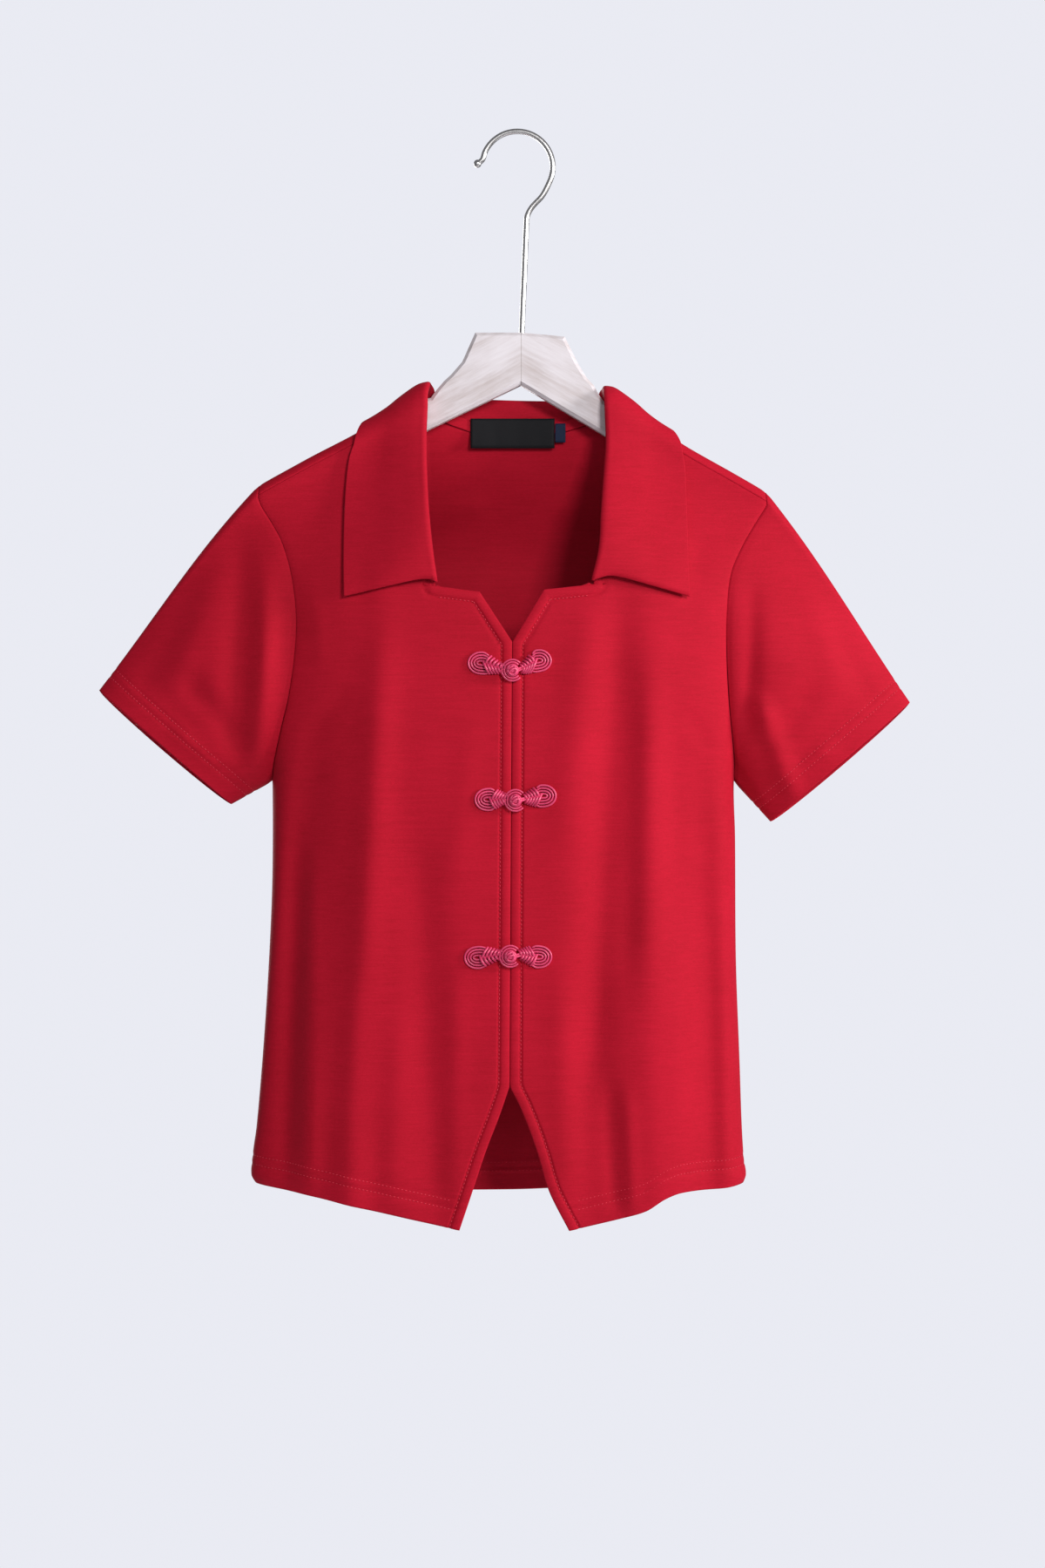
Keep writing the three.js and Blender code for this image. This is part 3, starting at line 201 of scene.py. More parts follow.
centre_x = curve((VENT_TOP_Z, -5), (-500, -4.2), (NOTCH_Z, -3.3))

# Folds that run down the cloth: top x, top z, foot x, foot z, half width, height
FOLDS = dict(
    front=[(-136, -405, -168, -712, 15, -8), (-156, -420, -166, -560, 10, 4),
           (-90, -330, -115, -740, 13, 5.5), (-68, -470, -56, -720, 15, -3.5),
           (50, -325, 34, -470, 15, 3), (70, -322, 50, -640, 13, -5), (88, -325, 95, -740, 20, 5.5),
           (121, -410, 130, -730, 14, -7), (141, -420, 144, -690, 9, 3)],
    back=[(-128, -390, -146, -715, 17, -7), (-84, -340, -100, -725, 18, 5),
          (-30, -420, -42, -730, 20, -4), (34, -360, 28, -730, 20, 4.5),
          (82, -330, 74, -728, 16, -5.5), (116, -400, 124, -720, 15, 4.5)],
    sleeve=[(-188, -262, -190, -420, 12, -4), (-166, -290, -176, -430, 9, 3.5),
            (158, -300, 158, -400, 8, -3), (162, -385, 186, -450, 9, 4)],
)
# Smaller creases, soft at both ends: from x, z to x, z, half width, height
CREASES = dict(
    front=[(-152, -450, -159, -745, 8, -6), (-138, -470, -142, -748, 7, 3.4),
           (104, -372, 108, -600, 10, -3.2), (80, -350, 74, -600, 10, -3.2),
           (132, -520, 136, -735, 8, -2.6), (-150, -425, -112, -382, 8, -1.3),
           (-158, -452, -128, -436, 7, -1.1),
           (-100, -560, -108, -700, 8, -1.2), (-128, -560, -136, -735, 8, 1.6),
           (-80, -600, -86, -742, 9, 1.3), (-40, -560, -44, -742, 8, 1.0),
           (-30, -400, -42, -520, 10, 0.9), (28, -560, 36, -742, 9, 1.1),
           (62, -640, 68, -745, 7, -2.2), (74, -650, 78, -742, 6, 1.8),
           (110, -520, 112, -700, 8, 1.6), (104, -420, 108, -560, 9, -1.0),
           (136, -430, 112, -396, 7, -1.1), (146, -462, 126, -500, 7, -1.2),
           (-120, -262, -104, -330, 9, -1.0), (126, -272, 116, -340, 9, -1.1),
           (-142, -300, -132, -372, 7, 0.9), (-2, -590, -24, -668, 10, 0.8)],
    back=[(-150, -430, -104, -384, 10, -1.8), (134, -430, 96, -388, 10, -1.7),
          (-60, -540, -66, -722, 9, 1.6), (0, -520, -6, -728, 10, 1.4), (52, -560, 54, -724, 9, -1.6),
          (-112, -560, -118, -716, 8, -1.5), (100, -540, 100, -716, 8, 1.5),
          (-70, -262, -20, -252, 9, -1.4), (70, -264, 20, -253, 9, -1.3), (-8, -300, -2, -420, 14, 1.2)],
    sleeve=[(-178, -430, -232, -372, 9, -2.2), (-186, -446, -238, -408, 8, 1.5),
            (-206, -300, -236, -392, 10, 1.6), (-226, -330, -262, -388, 8, -1.4),
            (160, -436, 206, -380, 9, -2.0), (168, -452, 220, -420, 8, 1.5),
            (196, -300, 222, -392, 10, 1.5), (214, -336, 246, -396, 8, -1.3)],
)


def smooth(t):
    t = np.clip(t, 0, 1)
    return t * t * (3 - 2 * t)


def mix(a, b, t):
    return a + (b - a) * t


def ridge_z(x):
    """Height of the line where the cloth lies over the shoulders, straight across the neck."""
    across = (x + RIDGE_END) / (2 * RIDGE_END)
    straight = mix(LEFT["ridge"](-RIDGE_END), RIGHT["ridge"](RIDGE_END), across)
    return np.where(x <= -RIDGE_END, LEFT["ridge"](x),
                    np.where(x >= RIDGE_END, RIGHT["ridge"](x), straight))


def fold_height(kind, x, z):
    total = np.zeros(np.broadcast(x, z).shape)
    for top_x, top_z, foot_x, foot_z, half, height in FOLDS[kind]:
        along = (z - top_z) / (foot_z - top_z)
        across = (x - mix(top_x, foot_x, np.clip(along, 0, 1.1))) / half
        fade = smooth((along + 0.12) / 0.4) * (1 - 0.75 * smooth((along - 0.9) / 0.35))
        total += np.where(along > -0.12, height * fade * np.exp(-across * across), 0)
    return total


def crease_height(kind, x, z):
    total = np.zeros(np.broadcast(x, z).shape)
    for x1, z1, x2, z2, half, height in CREASES[kind]:
        length = math.hypot(x2 - x1, z2 - z1)
        ux, uz = (x2 - x1) / length, (z2 - z1) / length
        along = ((x - x1) * ux + (z - z1) * uz) / length
        across = ((x - x1) * -uz + (z - z1) * ux) / half
        fade = smooth(along / 0.35 + 0.2) * smooth((1 - along) / 0.3 + 0.2)
        total += height * fade * np.exp(-across * across)
    return total


def across_body(x, z):
    """Place between the side seams, from -1 at the left one to 1 at the right one."""
    left, right = LEFT["side_x"](z), RIGHT["side_x"](z)
    return np.clip((2 * x - left - right) / (right - left), -1, 1)


def half_depth(x, z, face):
    """How far the cloth hangs in front of or behind the middle of the body."""
    drop = np.maximum(ridge_z(x) - z - ROLL, 0)
    close = (1 - np.abs(across_body(x, z)) ** DEPTH_POWER) ** (1 / DEPTH_POWER)
    closing = mix(1, close, smooth(drop / DROP_LENGTH))
    hang = ROLL + (DEPTH[face](z) - ROLL) * smooth(drop / DROP_LENGTH)
    folds = fold_height(face, x, z) + crease_height(face, x, z)
    return closing * (hang + folds * smooth(drop / FOLD_DROP))


def front_y(x, z):
    return -SEAM_GAP / 2 - half_depth(x, z, "front")


def back_y(x, z):
    return SEAM_GAP / 2 + half_depth(x, z, "back")


def points(x, y, z):
    return np.stack(np.broadcast_arrays(x, y, z), axis=-1).astype(float)


def roll_point(x, degrees):
    """A point on the round of cloth over the ridge, 0 at the top and 90 at the back."""
    a = np.radians(degrees)
    return points(x, ROLL * np.sin(a), ridge_z(x) - ROLL * (1 - np.cos(a)))


def unit(v):
    return v / np.maximum(np.linalg.norm(v, axis=-1, keepdims=True), 1e-9)


def roll_normal(x, degrees):
    a = np.radians(degrees)
    slope = (ridge_z(x + 1) - ridge_z(x - 1)) / 2
    return unit(points(-slope * np.cos(a), np.sin(a), np.cos(a)))


def grid_normals(grid, towards, loop=False):
    """Normals of a grid, turned so that the cloth's outer face looks along `towards`."""
    if loop:
        across = np.roll(grid, -1, 1) - np.roll(grid, 1, 1)
    else:
        across = np.gradient(grid, axis=1)
    normal = unit(np.cross(across, np.gradient(grid, axis=0)))
    return normal if (normal * towards).sum() > 0 else -normal


def mesh_object(name, vertices, faces, material):
    mesh = bpy.data.meshes.new(name)
    mesh.from_pydata((np.asarray(vertices) * MM).tolist(), [], faces)
    mesh.validate()
    mesh.update()
    mesh.polygons.foreach_set("use_smooth", [True] * len(mesh.polygons))
    thing = bpy.data.objects.new(name, mesh)
    scene.collection.objects.link(thing)
    mesh.materials.append(material)
    return thing


def cloth_object(name, grid, normals, wall, material, loop=False, has=None):
    """A closed wall of cloth: the grid, its inner face, and rounded edges between them."""
    rows, columns = grid.shape[:2]
    count = rows * columns
    cells = columns if loop else columns - 1
    present = np.ones((rows - 1, cells), bool) if has is None else has
    r, c = np.nonzero(present)
    n = (c + 1) % columns
    quads = np.stack([r * columns + c, r * columns + n, (r + 1) * columns + n, (r + 1) * columns + c], 1)
    flat, inward = grid.reshape(-1, 3), normals.reshape(-1, 3)
    a, b, d = flat[quads[0, 0]], flat[quads[0, 1]], flat[quads[0, 3]]
    if np.dot(np.cross(b - a, d - a), inward[quads[0, 0]]) < 0:
        quads = quads[:, ::-1]
    starts = quads.reshape(-1)
    ends = np.roll(quads, -1, 1).reshape(-1)
    keys = set(zip(starts.tolist(), ends.tolist()))
    rim = [(s, e) for s, e in keys if (e, s) not in keys]
    keep = sorted({v for edge in rim for v in edge})
    # The middle of the edge stands out a little, away from the neighbouring cloth
    neighbour = np.zeros_like(flat)
    seen = np.zeros(count)
    for corner in range(4):
        other = quads[:, (corner + 2) % 4]
        np.add.at(neighbour, quads[:, corner], flat[other])
        np.add.at(seen, quads[:, corner], 1)
    middle_index = {v: 2 * count + i for i, v in enumerate(keep)}
    away = unit(flat[keep] - neighbour[keep] / seen[keep][:, None])
    away = unit(away - (away * inward[keep]).sum(-1, keepdims=True) * inward[keep])
    middle = flat[keep] - inward[keep] * wall / 2 + away * EDGE_ROUND * wall
    vertices = np.concatenate([flat, flat - inward * wall, middle])
    faces = quads.tolist() + (quads[:, ::-1] + count).tolist()
    for s, e in rim:
        faces.append((e, s, middle_index[s], middle_index[e]))
        faces.append((middle_index[e], middle_index[s], s + count, e + count))
    used = np.zeros(len(vertices), bool)
    used[quads.ravel()] = True
    used[quads.ravel() + count] = True
    used[2 * count:] = True
    renumber = np.cumsum(used) - 1
    faces = [tuple(int(renumber[v]) for v in face) for face in faces]
    return mesh_object(name, vertices[used], faces, material)


class Wire:
    """A socket of a material, so that values of sockets add and multiply as expressions."""

    def __init__(self, tree, socket=None):
        self.tree, self.socket = tree, socket

    def node(self, kind, inputs=None, out=0, stops=None, **settings):
        made = self.tree.nodes.new(kind)
        for name, value in settings.items():
            setattr(made, name, value)
        if stops:
            ramp = made.color_ramp
            for i, (place, colour) in enumerate(stops):
                stop = ramp.elements[i] if i < 2 else ramp.elements.new(place)
                stop.position, stop.color = place, colour
        for name, value in (inputs or {}).items():
            if isinstance(value, Wire):
                self.tree.links.new(value.socket, made.inputs[name])
            else:
                made.inputs[name].default_value = value
        return Wire(self.tree, made.outputs[out])

    def math(self, operation, a, b=0.0):
        return self.node("ShaderNodeMath", {0: a, 1: b}, operation=operation)

    def __add__(self, other):
        return self.math("ADD", self, other)

    def __sub__(self, other):
        return self.math("SUBTRACT", self, other)

    def __mul__(self, other):
        return self.math("MULTIPLY", self, other)

    def size(self):
        return self.math("ABSOLUTE", self)

    def below(self, limit):
        return self.math("LESS_THAN", self, limit)

    def part(self, axis):
        return self.node("ShaderNodeSeparateXYZ", {"Vector": self}, out="XYZ".index(axis))

    def scaled(self, x, y, z):
        return self.node("ShaderNodeVectorMath", {0: self, 1: (x, y, z)}, operation="MULTIPLY")

    def noise(self, scale, detail=2.0, roughness=0.5):
        return self.node("ShaderNodeTexNoise", {"Vector": self, "Scale": scale, "Detail": detail,
                                                "Roughness": roughness})

    def ramp(self, *stops):
        return self.node("ShaderNodeValToRGB", {"Fac": self}, stops=stops)

    def between(self, dark, light):
        return self.node("ShaderNodeMix", {0: self, 6: dark, 7: light}, out=2, data_type="RGBA")

    def bump(self, strength, distance):
        return self.node("ShaderNodeBump", {"Height": self, "Strength": strength, "Distance": distance})


def new_material(name):
    """The material, its shader and the object's own coordinates."""
    material = bpy.data.materials.new(name)
    material.use_nodes = True
    tree = material.node_tree
    shader = tree.nodes["Principled BSDF"]
    place = Wire(tree).node("ShaderNodeTexCoord", out=3)
    return material, shader, place


def feed(shader, name, wire):
    wire.tree.links.new(wire.socket, shader.inputs[name])


def knit_material(name, deep, bright):
    """Double knit: a fine marled face with a soft bloom, and a faint unevenness of the dye."""
    material, shader, place = new_material(name)
    marl = place.scaled(1, 1, 3.2).noise(520, 3, 0.65)
    dye = place.noise(14, 3, 0.55)
    slub = place.scaled(0.25, 1, 6).noise(160, 2, 0.6)
    shade = marl * 0.8 + slub * 0.5 + dye * 0.5 - 0.4
    feed(shader, "Base Color", shade.between(deep, bright))
    feed(shader, "Roughness", marl * 0.16 + 0.66)
    loops = place.scaled(1, 1, 1.6).noise(1500, 2, 0.6)
    relief = loops * 0.6 + marl * 0.5
    feed(shader, "Normal", relief.bump(0.22, 0.0004))
    shader.inputs["Sheen Weight"].default_value = 0.05
    shader.inputs["Sheen Roughness"].default_value = 0.5
    shader.inputs["Sheen Tint"].default_value = (1, 0.2, 0.3, 1)
    shader.inputs["Specular IOR Level"].default_value = 0.1
    return material


RED_DEEP = (0.31, 0.0025, 0.0105, 1)
RED_BRIGHT = (0.54, 0.007, 0.029, 1)
red_knit = knit_material("red_knit", RED_DEEP, RED_BRIGHT)

# Spans of a front panel up its inner edge: rows, and height on its outer edge at the span's top
FRONT_SPANS = [("tip", "vent_top", 40, -652), ("vent_top", "armpit", 64, ARMPIT_Z),
               ("armpit", "notch", 32, -352), ("notch", "neck_corner", 34, -324),
               ("neck_corner", "collar_end", 12, -300), ("collar_end", "neck_point", 30, None)]
HEM_SHARE = 0.24


def neck_end_x(side):
    return float(side["neck_x"](NECK_END_Z)) + side["sign"] * (NECK_SEAM + 0.4)


NECK_ENDS = neck_end_x(LEFT), neck_end_x(RIGHT)


def front_rows(side):
    """Rows up a front: inner x and z, outer z, and how far the ridge and the hem shape the row."""
    sign = side["sign"]
    neck_x = float(side["neck_x"](NECK_POINT_Z)) + sign * NECK_SEAM
    corner = dict(
        tip=side["tip"], vent_top=(float(centre_x(VENT_TOP_Z)), VENT_TOP_Z),
        armpit=(float(centre_x(CENTRE_ARMPIT_Z)), CENTRE_ARMPIT_Z),
        notch=(float(centre_x(NOTCH_Z)), NOTCH_Z), neck_corner=side["neck_corner"],
        collar_end=side["collar_end"], neck_point=(neck_x, float(ridge_z(np.array(neck_x))) - ROLL))
    top_outer = float(ridge_z(np.array(side["shoulder_x"]))) - ROLL
    rows, outer_from = [], HEM_Z
    for low, high, count, side_top in FRONT_SPANS:
        outer_to = top_outer if side_top is None else side_top
        steps = np.linspace(0, 1, count + 1)
        if low == "tip":
            turned = np.linspace(0, HEM_SHARE, 18)
            steps = np.concatenate([turned, np.linspace(HEM_SHARE, 1, count - 16)[1:]])
        for t in steps if not rows else steps[1:]:
            z = mix(corner[low][1], corner[high][1], t)
            x = mix(corner[low][0], corner[high][0], t)
            if low == "tip":
                x = float(side["vent_x"](z))
            elif high in ("armpit", "notch"):
                x = float(centre_x(z))
            elif low == "collar_end":
                neck = float(side["neck_x"](z)) + sign * NECK_SEAM
                x = mix(side["collar_end"][0], neck, smooth((z - side["collar_end"][1]) / 12))
            rows.append((x + sign * SEAM_GAP / 2, z, mix(outer_from, outer_to, t),
                         float(smooth(t)) if low == "collar_end" else 0.0, 1 - t if low == "tip" else 0.0))
        outer_from = outer_to
    return np.array(rows)


def outer_x(side, z, back=False):
    arm = side["armhole_x"](z)
    if back:
        up = np.sin(np.pi * smooth((z - ARMPIT_Z) / ARMHOLE_HEIGHT))
        arm = arm + side["sign"] * BACK_ARMHOLE_IN * up
    return np.where(z <= ARMPIT_Z, side["side_x"](z), arm)


def front_grid(side):
    rows = front_rows(side)
    x_in, z_in, z_out, follow, hem = (rows[:, i, None] for i in range(5))
    x_out = outer_x(side, z_out)
    start, end = np.arcsin(across_body(x_in, z_in)), np.arcsin(across_body(x_out, z_out))
    share = np.concatenate([np.linspace(0, 0.016, 6), np.linspace(0.016, 0.046, 16)[1:],
                            np.linspace(0.046, 0.965, 64)[1:], np.linspace(0.965, 1, 6)[1:]])[None, :]
    t = (np.sin(mix(start, end, share)) - np.sin(start)) / (np.sin(end) - np.sin(start))
    x = mix(x_in, x_out, t)
    ridge = ridge_z(x) - mix(ridge_z(x_in), ridge_z(x_out), t)
    z = mix(z_in, z_out, t) + follow * ridge + hem * side["hem_lift"](x)
    grid = points(x, front_y(x, z), z)
    top = grid[-1, :, 0]
    rolled = [roll_point(top, angle) for angle in (-87, -84, SEAM_ANGLE - 1)]
    return np.concatenate([grid, np.stack(rolled)])


def line_distance(x, z, line):
    """Distance in the front view from each point to a line of (x, z) points."""
    best = np.full(x.shape, 1e9)
    for (x1, z1), (x2, z2) in zip(line[:-1], line[1:]):
        length = max((x2 - x1) ** 2 + (z2 - z1) ** 2, 1e-9)
        t = np.clip(((x - x1) * (x2 - x1) + (z - z1) * (z2 - z1)) / length, 0, 1)
        best = np.minimum(best, np.hypot(x - x1 - t * (x2 - x1), z - z1 - t * (z2 - z1)))
    return best


def opening_line(side):
    """The faced edge from the vent's tip to the collar's end."""
    vent = [(float(side["vent_x"](z)), z) for z in np.linspace(side["tip"][1], VENT_TOP_Z, 9)]
    centre = [(float(centre_x(z)), z) for z in (-500, NOTCH_Z)]
    return vent + centre + [side["neck_corner"], side["collar_end"]]


FACING = 7.2
HEM_ROWS = 13, 19
STITCH_PITCH = 2.7


def groove(distance, depth, width):
    return -depth * np.exp(-(distance / width) ** 2)


def sewn_relief(edge, above_hem):
    """Height of the cloth near a faced edge and a hem: lines of stitches pull it in."""
    relief = groove(edge - FACING, 1.0, 0.9) + 0.3 * np.exp(-((edge - 3.6) / 2.2) ** 2)
    for row in HEM_ROWS:
        relief = relief + groove(above_hem - row, 0.35, 1.0)
    return relief - 0.5 * np.exp(-edge / 0.8) + 0.18 * np.exp(-((above_hem - 7) / 4) ** 2)


def seam_roll(grid, column, depth=0.7, reach=2.2):
    """How far the cloth turns in beside a seam along one column of its grid."""
    return -depth * np.exp(-np.linalg.norm(grid - grid[:, [column]], axis=-1) / reach)


def thread_line(where, outward, pitch=STITCH_PITCH, length=2.0, half=0.27):
    """Stitches along a line of points: a small eight-sided grain of thread for each."""
    steps = np.linalg.norm(np.diff(where, axis=0), axis=1)
    along = np.concatenate([[0], np.cumsum(steps)])
    begins = np.arange(0.4, along[-1] - length, pitch)

    def read(table, at):
        return np.stack([np.interp(at, along, table[:, k]) for k in range(3)], 1)

    first, last = read(where, begins), read(where, begins + length)
    normal = unit(read(outward, begins))
    across = unit(np.cross(last - first, normal))
    middle = (first + last) / 2 + normal * half * 0.9
    vertices = np.stack([first, last, middle + across * half, middle + normal * half * 0.8,
                         middle - across * half, middle - normal * half], 1).reshape(-1, 3)
    faces = []
    for i in range(len(begins)):
        for k in range(4):
            one, two = 6 * i + 2 + k, 6 * i + 2 + (k + 1) % 4
            faces += [(6 * i, one, two), (6 * i + 1, two, one)]
    return vertices, faces


def stitched(name, lines, material):
    """One object with the stitches of several lines."""
    vertices, faces, count = [], [], 0
    for where, outward in lines:
        some, these = thread_line(where, outward)
        faces += [tuple(v + count for v in face) for face in these]
        vertices.append(some)
        count += len(some)
    thread = mesh_object(name, np.concatenate(vertices), faces, material)
    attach(thread, "root")
    return thread


red_thread = knit_material("red_thread", (0.6, 0.035, 0.06, 1), (0.8, 0.07, 0.11, 1))


def line_beside(line, offset, sign):
    """A line of (x, z) points moved sideways into the panel."""
    line = np.array(line, float)
    way = np.gradient(line, axis=0)
    way /= np.linalg.norm(way, axis=1, keepdims=True)
    return line + offset * sign * np.stack([way[:, 1], -way[:, 0]], 1)


def front_panel(name, side):
    grid = front_grid(side)
    normals = grid_normals(grid, np.array([side["sign"] * 0.3, -1, 0]))
    edge = line_distance(grid[..., 0], grid[..., 2], opening_line(side))
    above = grid[..., 2] - grid[:1, :, 2]
    relief = sewn_relief(edge, above) + seam_roll(grid, -1)
    grid = grid + normals * relief[..., None]
    normals = grid_normals(grid, np.array([side["sign"] * 0.3, -1, 0]))
    seam = grid[:, -1, 2] <= ARMPIT_Z + 0.01
    normals[seam, -1, 1] = 0
    normals[seam, -1] = unit(normals[seam, -1])
    normals[-1] = roll_normal(grid[-1, :, 0], SEAM_ANGLE - 1)
    panel = cloth_object(name + "_cloth", grid, normals, CLOTH, red_knit)
    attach(panel, "root")
    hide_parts(name)
    dense = []
    for (x1, z1), (x2, z2) in zip(opening_line(side)[:-1], opening_line(side)[1:]):
        steps = max(int(math.hypot(x2 - x1, z2 - z1) / 3), 2)
        dense += [(mix(x1, x2, k / steps), mix(z1, z2, k / steps)) for k in range(steps)]
    beside = line_beside(dense, FACING, side["sign"])
    beside = beside[line_distance(beside[:, 0], beside[:, 1], opening_line(side)) > FACING - 0.6]
    lines = [beside]
    for row in HEM_ROWS:
        hem = grid[0, 10:-4]
        lines.append(np.stack([hem[:, 0], hem[:, 2] + row], 1))
    threads = []
    for line in lines:
        x, z = line[:, 0], line[:, 1]
        threads.append((points(x, front_y(x, z) + 0.25, z), points(0 * x, -1 + 0 * x, 0 * x)))
    stitched(name + "_stitching", threads, red_thread)
    return grid, normals


front_left, front_left_normals = front_panel("front_left", LEFT)
front_right, front_right_normals = front_panel("front_right", RIGHT)

# Back: one panel of the same knit, cut on the fold. Its shoulders come over the ridge to seams
# just in front of it, and its hem is level and shorter than the front tips, coverstitched inside.

ROLL_ANGLES = [75, 60, 45, 30, 15, 0, -15, -30, -45, -60, -70, SEAM_ANGLE + 1]
NECK_STEPS = 4


def back_neck_z(x):
    end_x = np.where(x < 0, NECK_ENDS[0], NECK_ENDS[1])
    t = np.clip(x / end_x, 0, 1)
    column = np.minimum(np.floor(t * NECK_STEPS), NECK_STEPS - 1)
    rise = mix((column / NECK_STEPS) ** 3, ((column + 1) / NECK_STEPS) ** 3, t * NECK_STEPS - column)
    return mix(BACK_NECK_Z, ridge_z(end_x) - ROLL, rise)


def back_panel():
    levels = [front_rows(side)[:, 2] for side in (LEFT, RIGHT)]
    left_z, right_z = levels[0][:, None], levels[1][:, None]
    left_x, right_x = outer_x(LEFT, left_z, True), outer_x(RIGHT, right_z, True)
    ease = np.concatenate([np.linspace(0, 0.05, 6), np.linspace(0.05, 1, 27)[1:]])[None, :]

    def spread(x1, z1, x2, z2, share):
        start, end = np.arcsin(across_body(x1, z1)), np.arcsin(across_body(x2, z2))
        t = (np.sin(mix(start, end, share)) - np.sin(start)) / (np.sin(end) - np.sin(start))
        return mix(x1, x2, t)

    left_part = spread(left_x, left_z, NECK_ENDS[0], left_z, ease)
    neck_part = np.broadcast_to(np.linspace(*NECK_ENDS, 57)[None, 1:-1], (len(left_z), 55))
    right_part = spread(NECK_ENDS[1], right_z, right_x, right_z, 1 - ease[:, ::-1])
    x = np.concatenate([left_part, neck_part, right_part], axis=1)
    first, last = left_part.shape[1] - 1, left_part.shape[1] + 55
    rise = (left_z - HEM_Z) / BODY_HEIGHT
    follow = smooth((left_z - ARMPIT_Z) / (levels[0][-1] - ARMPIT_Z))
    t = (x - left_x) / (right_x - left_x)
    drop = (BACK_HEM_Z - HEM_Z) * (1 - smooth(rise * 1.9))
    level = mix(left_z, right_z, t) + drop * np.sin(np.pi * t)
    neck = (x > NECK_ENDS[0] + 0.01) & (x < NECK_ENDS[1] - 0.01)
    top = np.where(neck, back_neck_z(x), ridge_z(x) - ROLL)
    z = level + follow * (top - mix(levels[0][-1], levels[1][-1], t))
    grid = points(x, back_y(x, z), z)
    body_rows = len(grid)
    rolls = np.stack([roll_point(grid[-1, :, 0], angle) for angle in ROLL_ANGLES])
    grid = np.concatenate([grid, rolls])
    towards = np.zeros_like(grid)
    towards[:body_rows] = (0, 1, 0.2)
    towards[body_rows:] = (0, 0.2, 1)
    normals = grid_normals(grid, towards)
    above = grid[..., 2] - grid[:1, :, 2]
    above[body_rows:] = 500
    relief = sum(groove(above - row, 0.35, 1.0) for row in HEM_ROWS)
    relief = relief + seam_roll(grid, 0) + seam_roll(grid, -1)
    grid = grid + normals * relief[..., None]
    normals = grid_normals(grid, towards)
    for column in (0, -1):
        seam = grid[:body_rows, column, 2] <= ARMPIT_Z + 0.01
        normals[:body_rows][seam, column, 1] = 0
        normals[:body_rows][seam, column] = unit(normals[:body_rows][seam, column])
    for k, angle in enumerate(ROLL_ANGLES):
        normals[body_rows + k] = roll_normal(grid[body_rows + k, :, 0], angle)
    normals[body_rows - 1] = roll_normal(grid[body_rows - 1, :, 0], 90)
    normals[body_rows - 1, first + 1:last] = unit(np.array([0, 1, 0.1]))
    has = np.ones((len(grid) - 1, grid.shape[1] - 1), bool)
    has[body_rows - 1:, first:last] = False
    panel = cloth_object("back_cloth", grid, normals, CLOTH, red_knit, has=has)
    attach(panel, "root")
    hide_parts("back")
    threads = []
    for row in HEM_ROWS:
        hem = grid[0, 4:-4]
        x, z = hem[:, 0], hem[:, 2] + row
        threads.append((points(x, back_y(x, z) - 0.25, z), points(0 * x, 1 + 0 * x, 0 * x)))
        threads.append((points(x, back_y(x, z) - CLOTH - 0.05, z), points(0 * x, -1 + 0 * x, 0 * x)))
    stitched("back_stitching", threads, red_thread)
    return grid, normals


back, back_normals = back_panel()

# Sleeves: short set-in sleeves, each one piece of knit closed under the arm, hanging flat from the
# shoulder, with a twin-needle hem at the cuff.

RINGS = np.concatenate([np.linspace(0, 0.06, 6), np.linspace(0.06, 0.84, 34)[1:],
                        np.linspace(0.84, 1, 20)[1:]])
CUFF_ROWS = 12, 18


def round_armhole(loop, ridge_at, armpit_at):
    """Each point's share of the way from the ridge to the armpit, and 1 behind or -1 in front."""
    count = len(loop)
    steps = np.linalg.norm(np.roll(loop, -1, 0) - loop, axis=1)
    order = (np.arange(count) + ridge_at) % count
    walked = np.concatenate([[0], np.cumsum(steps[order])])[:-1]
    to_armpit = walked[(armpit_at - ridge_at) % count]
    share, face = np.empty(count), np.empty(count)
    share[order] = np.where(walked <= to_armpit, walked / to_armpit,
                            1 - (walked - to_armpit) / (steps.sum() - to_armpit))
    face[order] = np.where(walked < to_armpit, 1.0, -1.0)
    return share, face


